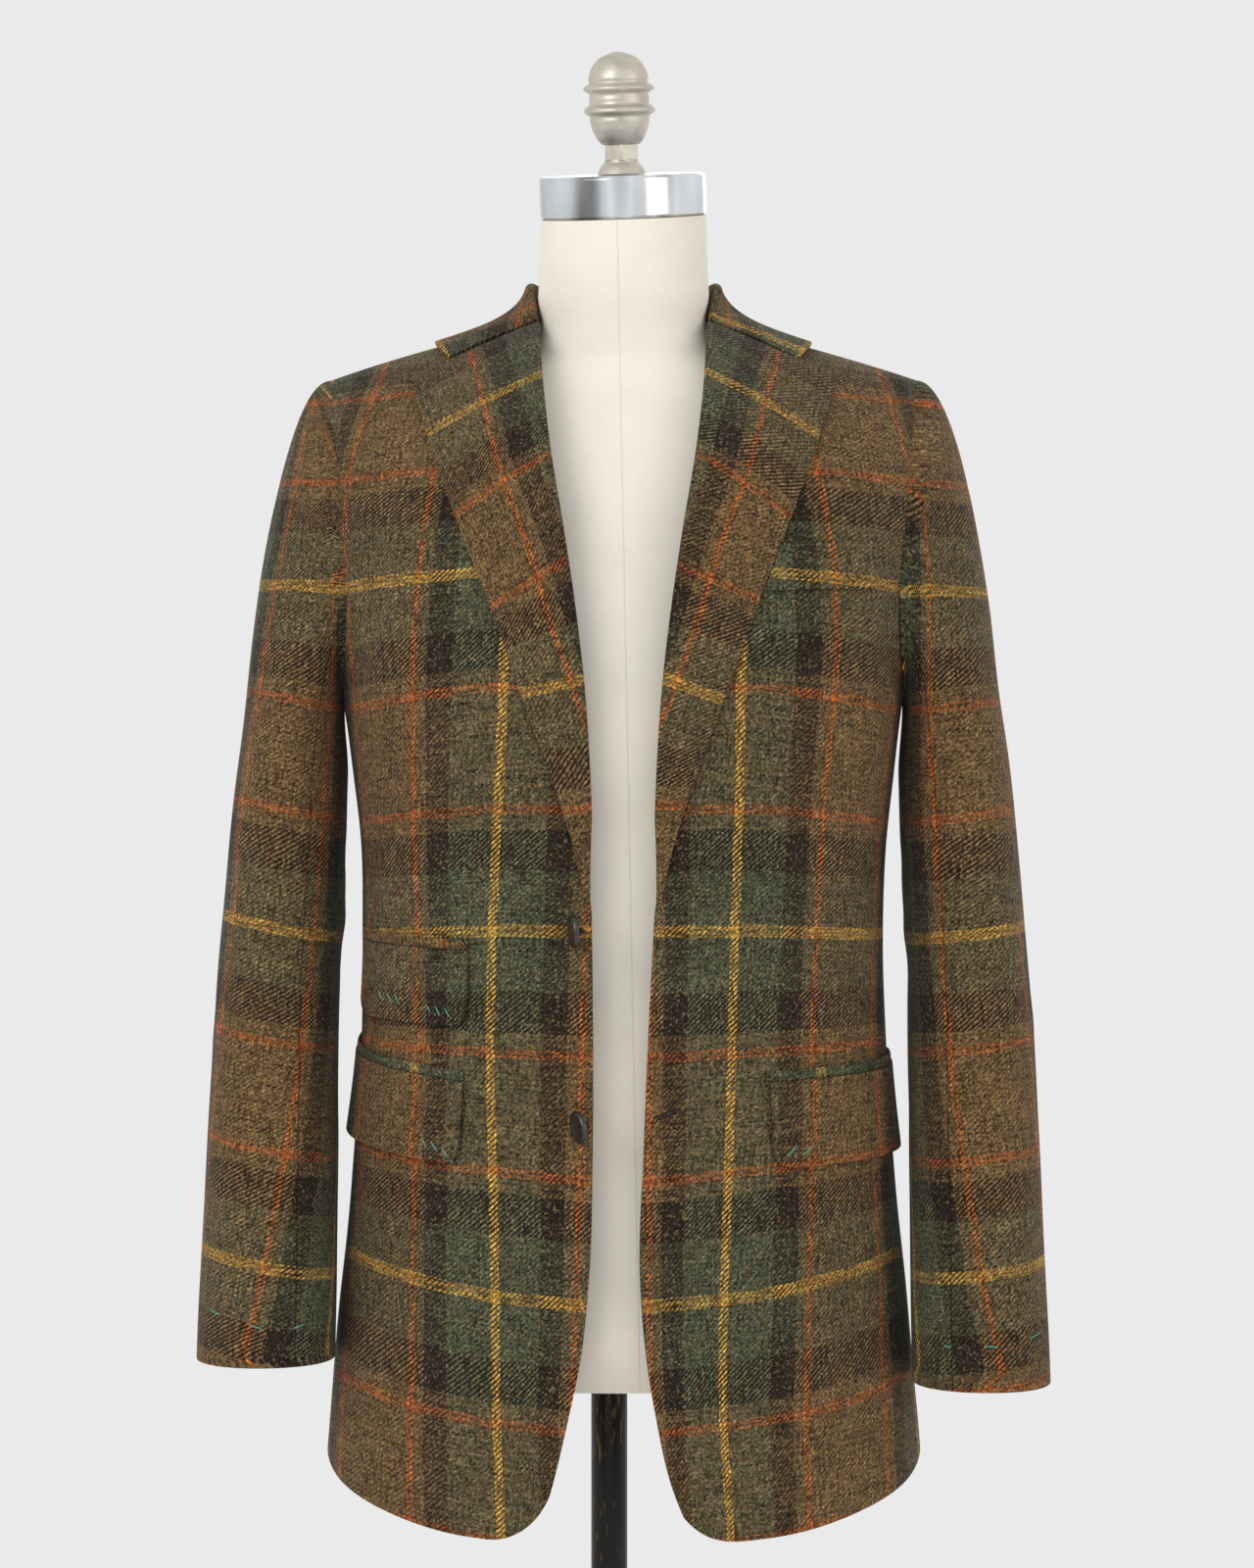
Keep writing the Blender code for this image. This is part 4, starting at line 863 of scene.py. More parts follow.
def body_chart(side, turn, rise, height):
    half = half_width(height)
    turns = []
    for line in WARP_LINE_AT[side]:
        x = line(rise)
        reach = float(np.interp(abs(x) / half, OUTLINE_ACROSS, OUTLINE_TURNS))
        turns.append(math.copysign(reach, x))
    if turn > turns[-1]:
        across = WARP_FAR_ORANGE + body_arc(turn, height) - body_arc(turns[-1], height)
    elif turn < turns[0]:
        across = -WARP_ORANGE + (turn - turns[0]) * front_quarter(height)
    else:
        across = float(np.interp(turn, turns, WARP_LINE_PLACES))
    return SIGN[side] * across, weft_at(turn, rise)


def weft_at(turn, rise):
    """Place up the checks at a turn and rise of the body."""
    shares = [np.interp(turn, WEFT_TURNS, share) for share in np.eye(len(WEFT_TURNS))]
    return beyond(rise, WEFT_RISES @ np.array(shares), WEFT_PLACES)


def back_chart(side, turn, rise, height):
    """Places on a back, whose centre seam runs up the middle of a broad tan band."""
    from_centre = (2 - turn) * back_quarter(height)
    return WARP_TAN - SIGN[side] * from_centre, weft_at(turn, rise)


lapel_line = curve(LAPEL_LINE, LAPEL_LINE_COLUMNS, "from_centre")


def lapel_chart(side, x, height):
    """Places on a lapel, whose checks lean with its roll line."""
    out = x - lapel_line(height)
    column = LAPEL_WEFT_COLUMNS.index(side)
    heights = [row[1] - row[column] * out for row in LAPEL_WEFT]
    up = beyond(height, heights, [row[0] for row in LAPEL_WEFT])
    return SIGN[side] * (WARP_ORANGE + out * LAPEL_LEAN), up


class SleeveRow:
    """One level ring of a sleeve: how its arc runs, and where its orange lines cross it."""

    ANGLES = np.linspace(0.0, 2 * math.pi, 73)

    def __init__(self, side, v, before):
        points = [sleeve_point(side, angle, v) for angle in self.ANGLES]
        steps = [(after - point).length for point, after in zip(points, points[1:])]
        self.arcs = np.concatenate(([0.0], np.cumsum(steps)))
        half = len(points) // 2
        front = points[:half]
        inner = self.crossing(front, SLEEVE_LINE[side])
        if inner is None:
            inner = before.inner_angle if before else math.pi / 2
        self.inner_angle = inner
        self.inner_arc = self.arc(inner)
        outer = self.crossing(front, SLEEVE_OUTER_LINE[side])
        gap = (WARP_FAR_ORANGE - WARP_ORANGE) / SLEEVE_FULL
        if outer is not None and outer < inner:
            gap = self.inner_arc - self.arc(outer)
        if before:
            gap = blend(before.gap, gap, SLEEVE_LINE_EASE)
        self.gap = gap
        into_head = min(max((v - HEAD_FROM) / HEAD_EASE, 0.0), 1.0)
        self.squeeze = blend(*INNER_SQUEEZE, into_head)

    def crossing(self, points, table):
        """The angle where a line crosses the ring, or None where the table doesn't reach."""
        heights = [row[0] for row in table]
        across = [row[1] for row in table]
        past = [abs(point.x) - float(np.interp(point.z, heights, across)) for point in points]
        for step, (here, there) in enumerate(zip(past, past[1:])):
            inside = heights[0] - 0.01 < points[step].z < heights[-1] + 0.01
            if here > 0 >= there and inside:
                share = here / (here - there)
                return float(blend(self.ANGLES[step], self.ANGLES[step + 1], share))
        return None

    def arc(self, angle):
        """Length along the ring to an angle, which may be less than nothing."""
        turns, rest = divmod(angle, 2 * math.pi)
        return float(np.interp(rest, self.ANGLES, self.arcs) + turns * self.arcs[-1])

    def across(self, side, angle):
        """Place across the checks at an angle."""
        past = self.arc(angle) - self.inner_arc
        spacing = WARP_FAR_ORANGE - WARP_ORANGE
        if past < -self.gap:
            past += self.gap - spacing
        elif past < 0:
            past *= spacing / self.gap
        else:
            past *= self.squeeze
        return SIGN[side] * (WARP_ORANGE - past)


SLEEVE_FULL = 0.82          # the checks' size on the outer sleeve, where no line shows it
INNER_SQUEEZE = (0.85, 0.45)        # their size past the inner line: on the arm, in the head
HEAD_FROM = 0.72            # of a sleeve's rows, where the second begins to take over
HEAD_EASE = 0.10
SLEEVE_LINE_EASE = 0.25     # how fast a sleeve's line spacing may change from ring to ring


def sleeve_up(side, point, path):
    low, high = SLEEVE_TILT[side]
    tilt = float(np.interp(point.z, SLEEVE_TILT_HEIGHTS, (low, high)))
    held = min(max(point.z, SLEEVE[-1][0]), SLEEVE[0][0])
    middle = (SLEEVE_AT["outer"](held) + SLEEVE_AT["inner"](held)) / 2
    over = float(np.interp(point.z, (1.33, 1.41), (0.0, 0.15)))
    height = point.z - tilt * (abs(point.x) - middle) + over * path
    column = SLEEVE_WEFT_COLUMNS.index(side)
    return beyond(height, [row[column] for row in SLEEVE_WEFT],
                  [row[0] for row in SLEEVE_WEFT])


# --- Settings -----------------------------------------------------------------------------

def colour_property(name, description, default):
    """A colour that the panel shows."""
    return FloatVectorProperty(name=name, description=description, default=default,
                               subtype="COLOR", min=0.0, max=1.0)


class JacketCloth(bpy.types.PropertyGroup):
    """The tweed: its yarns and how thick it is."""

    thickness: FloatProperty(
        name="Thickness", description="Wall of the tweed with its canvas",
        default=CLOTH, unit="LENGTH")
    trim_thickness: FloatProperty(
        name="Trim thickness", description="Wall of jettings and welt",
        default=TRIM_CLOTH, unit="LENGTH")
    yarn: FloatProperty(
        name="Yarn spacing", description="From one yarn to the next",
        default=0.00087, precision=5, unit="LENGTH")
    sheen: FloatProperty(
        name="Nap", description="Strength of the nap's soft edge glow",
        default=0.05, min=0.0, max=1.0, subtype="FACTOR")
    tan: colour_property("Tan", "Heathered tan yarn", (0.132, 0.078, 0.031))
    green: colour_property("Green", "Moss green yarn", (0.064, 0.071, 0.038))
    dark: colour_property("Dark", "Dark brown yarn", (0.018, 0.011, 0.007))
    orange: colour_property("Orange", "Burnt orange overcheck", (0.345, 0.082, 0.017))
    gold: colour_property("Gold", "Old gold overcheck", (0.470, 0.265, 0.045))


class JacketTrim(bpy.types.PropertyGroup):
    """Buttons and basting."""

    horn: colour_property("Horn", "Dark horn of the buttons", (0.017, 0.013, 0.009))
    horn_light: colour_property("Horn streak", "Paler streaks in the horn", (0.060, 0.045, 0.030))
    basting: colour_property("Basting", "Thread that holds flaps and cuffs shut",
                             (0.110, 0.420, 0.330))
    buttonhole: colour_property("Buttonhole", "Silk round the buttonholes",
                                (0.016, 0.012, 0.009))


class DressForm(bpy.types.PropertyGroup):
    """The padded form, its cap and finial, and its stand."""

    cover: colour_property("Cover", "Cream cotton cover", (0.890, 0.835, 0.730))
    steel: colour_property("Steel", "Polished neck band", (0.640, 0.660, 0.680))
    nickel: colour_property("Nickel", "Cast finial", (0.600, 0.560, 0.480))
    enamel: colour_property("Enamel", "Worn black enamel", (0.006, 0.005, 0.004))
    scuff: colour_property("Scuffs", "Brass and brown showing through", (0.150, 0.085, 0.032))


class Studio(bpy.types.PropertyGroup):
    """Camera, lights and floor."""

    camera_height: FloatProperty(name="Camera height", description="Of the lens over the floor",
                                 default=1.16, unit="LENGTH")
    camera_distance: FloatProperty(name="Camera distance", description="From the form's axis",
                                   default=2.505, unit="LENGTH")
    camera_x: FloatProperty(name="Camera offset", description="To the wearer's left of the pole",
                            default=0.0118, unit="LENGTH")
    lens: FloatProperty(name="Lens", description="Focal length", default=86.5,
                        unit="CAMERA")
    paper: FloatProperty(name="Paper", description="How bright the background is",
                         default=0.8228, min=0.0, max=1.0)
    key: FloatProperty(name="Key light", description="Power of the main softbox",
                       default=26.0, unit="POWER")
    fill: FloatProperty(name="Fill light", description="Power of the opposite softbox",
                        default=9.5, unit="POWER")


SETTINGS = {
    "jacket_cloth": JacketCloth,
    "jacket_trim": JacketTrim,
    "dress_form": DressForm,
    "studio": Studio,
}


# --- Shader building ----------------------------------------------------------------------

class Field:
    """A shader socket that Python's operators work on: each operator adds a Math node."""

    def __init__(self, finish, socket):
        self.finish = finish
        self.socket = socket

    def maths(self, operation, *values):
        return self.finish.node("ShaderNodeMath", {"operation": operation},
                                dict(enumerate(values)))

    def __add__(self, other):
        return self.maths("ADD", self, other)

    def __radd__(self, other):
        return self.maths("ADD", other, self)

    def __sub__(self, other):
        return self.maths("SUBTRACT", self, other)

    def __rsub__(self, other):
        return self.maths("SUBTRACT", other, self)

    def __mul__(self, other):
        return self.maths("MULTIPLY", self, other)

    def __rmul__(self, other):
        return self.maths("MULTIPLY", other, self)

    def __truediv__(self, other):
        return self.maths("DIVIDE", self, other)

    def __gt__(self, other):
        return self.maths("GREATER_THAN", self, other)

    def __mod__(self, other):
        return self.maths("FLOORED_MODULO", self, other)

    def __abs__(self):
        return self.maths("ABSOLUTE", self)

    def clamped(self):
        return self.maths("MINIMUM", self.maths("MAXIMUM", self, 0.0), 1.0)


class Finish:
    """A Principled material with its fixed values, and the one way to add nodes to it."""

    def __init__(self, name, **fixed):
        self.material = bpy.data.materials.new(name)
        self.material.use_nodes = True
        self.tree = self.material.node_tree
        self.shader = self.tree.nodes["Principled BSDF"]
        for socket, value in fixed.items():
            self.shader.inputs[socket.replace("_", " ")].default_value = value

    def node(self, kind, settings=None, sockets=None, output=0):
        """A node by its type, with its settings set first, then its sockets' values or links."""
        node = self.tree.nodes.new(kind)
        for setting, value in (settings or {}).items():
            if setting == "stops":
                self.set_stops(node.color_ramp, value)
            elif setting == "ramp":
                node.color_ramp.interpolation = value
            else:
                setattr(node, setting, value)
        for place, value in (sockets or {}).items():
            if isinstance(value, Field):
                self.tree.links.new(value.socket, node.inputs[place])
            else:
                node.inputs[place].default_value = value
        return Field(self, node.outputs[output])

    @staticmethod
    def set_stops(ramp, stops):
        while len(ramp.elements) < len(stops):
            ramp.elements.new(1.0)
        for element, (position, colour) in zip(ramp.elements, stops):
            element.position = position
            element.color = (*colour, 1.0)

    def ramp(self, value, stops, interpolation="LINEAR"):
        return self.node("ShaderNodeValToRGB", {"ramp": interpolation, "stops": stops},
                         {"Fac": value})

    def mix(self, share, first, second, blend_type="MIX"):
        """Colours mixed by a share."""
        sockets = {0: share, 6: opaque(first), 7: opaque(second)}
        return self.node("ShaderNodeMix", {"data_type": "RGBA", "blend_type": blend_type},
                         sockets, output=2)

    def place(self):
        return self.node("ShaderNodeTexCoord", output="Object")

    def parts(self, vector):
        """The three numbers of a vector."""
        return [self.node("ShaderNodeSeparateXYZ", sockets={0: vector}, output=axis)
                for axis in range(3)]

    def vector(self, x, y, z=0.0):
        return self.node("ShaderNodeCombineXYZ", sockets={0: x, 1: y, 2: z})

    def speckle(self, vector, scale, detail=2.0, roughness=0.5, output=0):
        return self.node("ShaderNodeTexNoise", sockets={
            "Vector": vector, "Scale": scale, "Detail": detail, "Roughness": roughness,
        }, output=output)

    def feed(self, **links):
        """Link fields to the shader's own sockets."""
        for socket, value in links.items():
            self.tree.links.new(value.socket, self.shader.inputs[socket.replace("_", " ")])

    def bump(self, height, distance, strength=1.0):
        """Raise the surface by a height from 0 to 1 times a distance."""
        normal = self.node("ShaderNodeBump", sockets={
            "Height": height, "Distance": distance, "Strength": strength})
        self.feed(Normal=normal)


def opaque(colour):
    """A colour with full alpha, or a link as it is."""
    return colour if isinstance(colour, Field) else (*colour[:3], 1.0)


# --- Finishes -----------------------------------------------------------------------------

def band_stops(bands, colours):
    """Ramp stops for a run of yarn bands, each held to the next."""
    whole = sum(width for _, width in bands)
    stops, start = [], 0.0
    for yarn, width in bands:
        stops.append((start / whole, colours[yarn]))
        start += width
    return stops


def band_length(bands):
    return sum(width for _, width in bands)


def tweed_finish(cloth):
    finish = Finish("tweed", Roughness=0.94, Specular_IOR_Level=0.18,
                    Sheen_Weight=cloth.sheen, Sheen_Roughness=0.55)
    colours = {yarn: tuple(getattr(cloth, yarn)) for yarn in
               ("tan", "green", "dark", "orange", "gold")}
    chart = finish.node("ShaderNodeUVMap", {"uv_map": "cloth"})
    place = finish.place()
    # Yarns wander a little, so no line is ruled.
    wander = finish.speckle(place, 90.0, 2.0)
    tremble = finish.speckle(place, 900.0, 1.0)
    across, up, _ = finish.parts(chart)
    across = across + (wander - 0.5) * 0.0016 + (tremble - 0.5) * 0.0009
    up = up + (finish.speckle(place, 70.0, 2.0) - 0.5) * 0.0016 + (tremble - 0.5) * 0.0009

    # Each yarn has its own shade, which changes slowly along it.
    yarn = cloth.yarn
    warp_tone = finish.speckle(finish.vector(across / yarn, up / 0.009), 0.6, 1.5, 0.6)
    weft_tone = finish.speckle(finish.vector(across / 0.009, up / yarn, 7.0), 0.6, 1.5, 0.6)
    warp = finish.ramp((across / band_length(WARP_BANDS)) % 1.0,
                       band_stops(WARP_BANDS, colours), "CONSTANT")
    weft = finish.ramp((up / band_length(WEFT_BANDS)) % 1.0,
                       band_stops(WEFT_BANDS, colours), "CONSTANT")
    warp = finish.mix(1.0, warp, toned(warp_tone, 4.4), "MULTIPLY")
    weft = finish.mix(1.0, weft, toned(weft_tone, 4.4), "MULTIPLY")

    # The twill's float: which yarn lies on top, in diagonals that climb to the right.
    ragged = finish.speckle(place, 1300.0, 1.0)
    wale = abs(((across - up) / (4 * yarn)) % 1.0 - 0.5) * 2 + (ragged - 0.5) * 0.9
    on_top = ((wale - 0.5) * 3.2 + 0.5).clamped()
    woven = finish.mix(on_top, weft, warp)

    # Flecks of other wools spun into the yarn, and painted shade in the gaps between the yarns.
    fleck = finish.speckle(place, 540.0, 1.0, output=1)
    red, green, blue = finish.parts(fleck)
    pale = ((red - 0.57) * 9.0).clamped()
    rust = ((green - 0.60) * 8.0).clamped()
    moss = ((blue - 0.60) * 8.0).clamped()
    woven = finish.mix(pale * 0.45, woven, (0.290, 0.205, 0.095))
    woven = finish.mix(rust * 0.25, woven, (0.160, 0.055, 0.018))
    woven = finish.mix(moss * 0.30, woven, (0.045, 0.060, 0.026))
    # Painted shade: near black where the yarns part, standing in for the shadow between them.
    gap = ((0.475 - finish.speckle(place, 760.0, 1.5)) * 6.0).clamped()
    woven = finish.mix(gap * 0.80, woven, (0.009, 0.006, 0.004))

    # Slow changes of shade from the finishing, and the shadow along each wale.
    cloudy = finish.speckle(place, 26.0, 3.0)
    woven = finish.mix(1.0, woven, toned(cloudy, 0.55), "MULTIPLY")
    woven = finish.mix(1.0, woven, toned(wale * 0.5 + 0.25, 1.25), "MULTIPLY")
    heather = finish.speckle(place, 500.0, 2.5, 0.65)
    woven = finish.mix(1.0, woven, toned(heather, 3.4), "MULTIPLY")
    finish.feed(Base_Color=woven, Roughness=0.88 + ragged * 0.12)
    finish.bump(wale * 0.55 + ragged * 0.45, 0.00045, 0.75)
    return finish.material


def toned(field, contrast):
    """A shade about 1, from a noise about a half."""
    return (field - 0.5) * contrast + 1.0


def horn_finish(trim):
    """Dark polished horn with paler streaks and a polish that dulls in patches."""
    finish = Finish("horn", Specular_IOR_Level=0.45, Coat_Weight=0.5, Coat_Roughness=0.12)
    place = finish.place()
    x, y, z = finish.parts(place)
    streak = finish.speckle(finish.vector(x * 2.2, y * 2.2, z), 260.0, 5.0, 0.62)
    colour = finish.ramp(streak, ((0.38, tuple(trim.horn)), (0.58, tuple(trim.horn)),
                                  (0.74, tuple(trim.horn_light))))
    worn = finish.speckle(place, 1400.0, 3.0)
    finish.feed(Base_Color=colour, Roughness=0.24 + worn * 0.26)
    finish.bump(worn, 0.00006, 0.4)
    return finish.material


def thread_finish(name, colour):
    """Twisted thread, with painted shade between its plies."""
    finish = Finish(name, Roughness=0.75, Specular_IOR_Level=0.3)
    plies_and_shade = finish.speckle(finish.place(), 2600.0, 1.0)
    # Painted shade and light along the plies: the colour is darker where their noise is low and
    # lighter where it is high.
    shade = finish.mix(1.0, colour, toned(plies_and_shade, 1.1), "MULTIPLY")
    finish.feed(Base_Color=shade)
    finish.bump(plies_and_shade, 0.00015, 0.5)
    return finish.material


def cover_finish(form):
    """The form's cotton: a fine plain weave, a centre seam and a little handling dirt."""
    finish = Finish("form_cover", Specular_IOR_Level=0.25, Sheen_Weight=0.08)
    place = finish.place()
    x, y, z = finish.parts(place)
    thread = 0.00055
    warp = abs((x / thread) % 1.0 - 0.5) * 2
    weft = abs((z / thread) % 1.0 - 0.5) * 2
    weave = warp * 0.5 + weft * 0.5
    aged = finish.speckle(place, 18.0, 4.0)
    cover = tuple(form.cover)
    colour = finish.ramp(aged, ((0.30, tuple(part * 0.93 for part in cover)), (0.62, cover)))
    # The seam runs down the middle of the neck, a little to the wearer's right.
    seam = abs(x - FORM_X + 0.0042 + (z - NECK_TOP.z) * 0.02)
    line = ((0.0007 - seam) * 2500.0).clamped()
    colour = finish.mix(line * 0.35, colour, tuple(part * 0.62 for part in cover))
    slub = finish.speckle(finish.vector(x * 0.15, y * 0.15, z), 1500.0, 2.0)
    colour = finish.mix(1.0, colour, toned(slub, 0.10), "MULTIPLY")
    finish.feed(Base_Color=colour, Roughness=0.80 + aged * 0.1)
    finish.bump(weave * 0.3 + slub * 0.5 - line, 0.00022, 0.5)
    return finish.material


def steel_finish(form):
    """Polished steel: fine turning marks, faint smears, small scratches and painted reflections
    of the room.
    """
    finish = Finish("polished_steel", Metallic=1.0)
    place = finish.place()
    x, y, z = finish.parts(place)
    marks = finish.speckle(finish.vector(x * 0.04, y * 0.04, z), 2400.0, 2.0)
    smear = finish.speckle(place, 34.0, 4.0, 0.6)
    # Painted reflection: upright streaks, light and dark, round the band stand in for the room
    # mirrored in the steel.
    streak = finish.speckle(finish.vector(x, y * 0.5, z * 0.02), 24.0, 1.5)
    steel = tuple(form.steel)
    # Painted reflection in the base colour: dark, bright and mid steel, chosen by the streaks.
    colour = finish.ramp(streak, ((0.40, tuple(part * 0.22 for part in steel)),
                                  (0.47, tuple(part * 0.92 for part in steel)),
                                  (0.56, tuple(part * 1.30 for part in steel)),
                                  (0.66, tuple(part * 0.60 for part in steel))))
    colour = finish.mix(1.0, colour, toned(smear, 0.30), "MULTIPLY")
    finish.feed(Base_Color=colour, Roughness=0.07 + smear * 0.10 + marks * 0.06)
    finish.bump(marks, 0.00003, 0.35)
    return finish.material


def nickel_finish(form):
    """Cast metal left satin, with pits and a cloudy tone, darker and paler in patches."""
    finish = Finish("cast_nickel", Metallic=0.85)
    place = finish.place()
    pits = finish.speckle(place, 620.0, 3.0, 0.6)
    cloud = finish.speckle(place, 75.0, 4.0, 0.6)
    nickel = tuple(form.nickel)
    colour = finish.ramp(cloud, ((0.32, tuple(part * 0.85 for part in nickel)), (0.50, nickel),
                                 (0.70, tuple(min(part * 1.12, 1.0) for part in nickel))))
    finish.feed(Base_Color=colour, Roughness=0.36 + pits * 0.16)
    finish.bump(pits * 0.6 + finish.speckle(place, 2200.0, 1.0) * 0.4, 0.00012, 0.55)
    return finish.material


def enamel_finish(form):
    """Black enamel rubbed down the pole, where brown and brass show through."""
    finish = Finish("black_enamel", Specular_IOR_Level=0.25)
    place = finish.place()
    x, y, z = finish.parts(place)
    drag = finish.speckle(finish.vector(x, y, z * 0.14), 420.0, 4.0, 0.65)
    patch_of_wear = finish.speckle(place, 11.0, 3.0)
    wear = ((drag + patch_of_wear * 0.55 - 0.855) * 11.0).clamped()
    colour = finish.mix(wear, tuple(form.enamel), tuple(form.scuff))
    finish.feed(Base_Color=colour, Roughness=0.30 + wear * 0.35 + drag * 0.10,
                Metallic=wear * 0.2)
    finish.bump(drag * 0.5 - wear * 0.5, 0.0001, 0.5)
    return finish.material


def paper_finish(studio):
    """The floor's pale paper, which takes only a soft shadow."""
    tone = studio.paper
    finish = Finish("studio_paper", Roughness=0.9, Emission_Strength=1.0)
    grain = finish.speckle(finish.place(), 40.0, 2.0)
    shade = finish.mix(1.0, (tone * 0.14,) * 3, toned(grain, 0.02), "MULTIPLY")
    finish.feed(Base_Color=shade)
    finish.shader.inputs["Emission Color"].default_value = (tone * 0.88,) * 3 + (1.0,)
    return finish.material


FINISHERS = {
    "tweed": (tweed_finish, "jacket_cloth"),
    "horn": (horn_finish, "jacket_trim"),
    "form_cloth": (cover_finish, "dress_form"),
    "polished_steel": (steel_finish, "dress_form"),
    "cast_nickel": (nickel_finish, "dress_form"),
    "black_enamel": (enamel_finish, "dress_form"),
    "paper": (paper_finish, "studio"),
}
MADE = {}


def finish_for(name):
    """The finish of that name, made once."""
    if name not in MADE:
        maker, settings = FINISHERS[name]
        MADE[name] = maker(getattr(bpy.context.scene, settings))
    return MADE[name]


# --- Making pieces ------------------------------------------------------------------------

FORM_SHIFT = Vector((FORM_X, FORM_Y, 0.0))


def new_piece(name, shape, slot, nodes=(), finish=None):
    """A smooth piece made of a bmesh, which rides on the body and stands for its solids."""
    mesh = bpy.data.meshes.new(name)
    shape.to_mesh(mesh)
    shape.free()
    mesh.materials.append(finish or finish_for(slot))
    mesh.shade_smooth()
    obj = bpy.data.objects.new(name, mesh)
    bpy.context.scene.collection.objects.link(obj)
    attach(obj, BODY_NAME)
    if nodes:
        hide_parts(*nodes)
    return obj


def soften_edges(obj, width, segments=2, degrees=35.0):
    """Round a piece's hard edges."""
    bevel = obj.modifiers.new("Edges", "BEVEL")
    bevel.width = width
    bevel.segments = segments
    bevel.limit_method = "ANGLE"
    bevel.angle_limit = math.radians(degrees)


def face_outwards(shape, middle):
    """Turn an open sheet so that it faces away from a middle line."""
    total = 0.0
    for face in shape.faces:
        away = face.calc_center_median() - middle(face.calc_center_median())
        total += face.normal.dot(away) * face.calc_area()
    if total < 0:
        bmesh.ops.reverse_faces(shape, faces=shape.faces[:])
    shape.normal_update()


def body_middle(point):
    """The body's upright middle line at a point's height."""
    return Vector((FORM_X, FORM_Y + SHOULDER_Y, point.z))


def body_side(point):
    """Which of the body's sides a point lies on, front or back."""
    return "front" if point.y < SHOULDER_Y else "back"


def cloth_sheet(name, panel, place, thickness,
                middle=body_middle, folds=None):
    """A sheet of tweed on its solid's form.

    place gives a point and its place on the checks for each point of the flat grid, and folds
    names the side of the cloth whose folds move it out.
    """
    columns, rows = GRID[panel]
    shape = bmesh.new()
    bmesh.ops.create_grid(shape, x_segments=columns, y_segments=rows, size=0.5)
    spots = {}
    for vert in shape.verts:
        point, spots[vert] = place(vert.co.x + 0.5, vert.co.y + 0.5)
        vert.co = point + FORM_SHIFT
    chart = shape.loops.layers.uv.new("cloth")
    for face in shape.faces:
        for loop in face.loops:
            loop[chart].uv = spots[loop.vert]
    shape.normal_update()
    face_outwards(shape, middle)
    if folds:
        moves = []
        for vert in shape.verts:
            point = vert.co - FORM_SHIFT
            moves.append(vert.normal * fold_depth(folds(point), point))
        for vert, move in zip(shape.verts, moves):
            vert.co += move
    obj = new_piece(name + "_cloth", shape, "tweed", (name,))
    wall = obj.modifiers.new("Wall", "SOLIDIFY")
    wall.thickness = thickness
    wall.offset = 0.0
    wall.use_even_offset = True
    soften_edges(obj, thickness * 0.36, 2, 60.0)
    return obj


def body_sheet(kind, side, place, chart, cloth):
    """A panel of the body, from its places in the (turn, rise) plane."""
    def at(u, v):
        turn, rise = place(u, v)
        point = bare_point(side, turn, rise)
        return point, chart(side, turn, rise, point.z)

    return cloth_sheet(f"{kind}_{side}", kind, at, cloth.thickness,
                       folds=body_side)


def laid_point(side, turn, rise, lift):
    """A point of something that lies on the body, over its folds."""
    bare = bare_point(side, turn, rise)
    return bare + body_normal(side, turn, rise) * (lift + fold_depth(body_side(bare), bare))


# --- Body panels --------------------------------------------------------------------------

def make_front(side, cloth):
    """A front, from its edge and the roll line to the side seam, armhole and shoulder."""
    edge_x = FRONT_EDGE_X[side]
    foot = CORNER_HEIGHT
    for _ in range(12):
        foot = quarter_hem(side, turn_at(edge_x(foot), foot))
    corner = front_place(edge_x(foot) + SEAM_GAP, foot)
    seam = SIDE_FRONT_TURN - GAP_TURN

    def front_edge(v):
        if v < BREAK_SHARE:
            height = blend(foot, BREAK_HEIGHT, v / BREAK_SHARE)
            return front_place(edge_x(height) + SEAM_GAP, height)
        if v < GORGE_SHARE:
            height = blend(BREAK_HEIGHT, GORGE_START[1],
                           (v - BREAK_SHARE) / (GORGE_SHARE - BREAK_SHARE))
            return front_place(roll_x(height) + SEAM_GAP, height)
        turn, rise = neckline(NECK_POINT * (v - GORGE_SHARE) / (1 - GORGE_SHARE))
        return turn + GAP_TURN, rise

    def side_edge(v):
        if v < SIDE_SHARE:
            start = quarter_hem(side, seam)
            return seam, blend(start, armhole(FRONT_SEAM_WAY, False)[1], v / SIDE_SHARE)
        way = FRONT_SEAM_WAY * (1 - (v - SIDE_SHARE) / (1 - SIDE_SHARE))
        turn, rise = armhole(way, False)
        return turn - GAP_TURN * way ** 4, rise - SEAM_GAP * (1 - way) ** 4

    def hem(u):
        turn = blend(corner[0], seam, u ** 1.3)
        return turn, (corner[1] if u == 0 else quarter_hem(side, turn))

    def shoulder(u):
        x = blend(COLLAR_AT["neck_x"](NECK_POINT), SHOULDER_TIP_X, u)
        turn, rise = crown_place(x, -0.0001)
        return turn, rise - SEAM_GAP

    return body_sheet("front", side, patch(hem, shoulder, front_edge, side_edge),
                      body_chart, cloth)


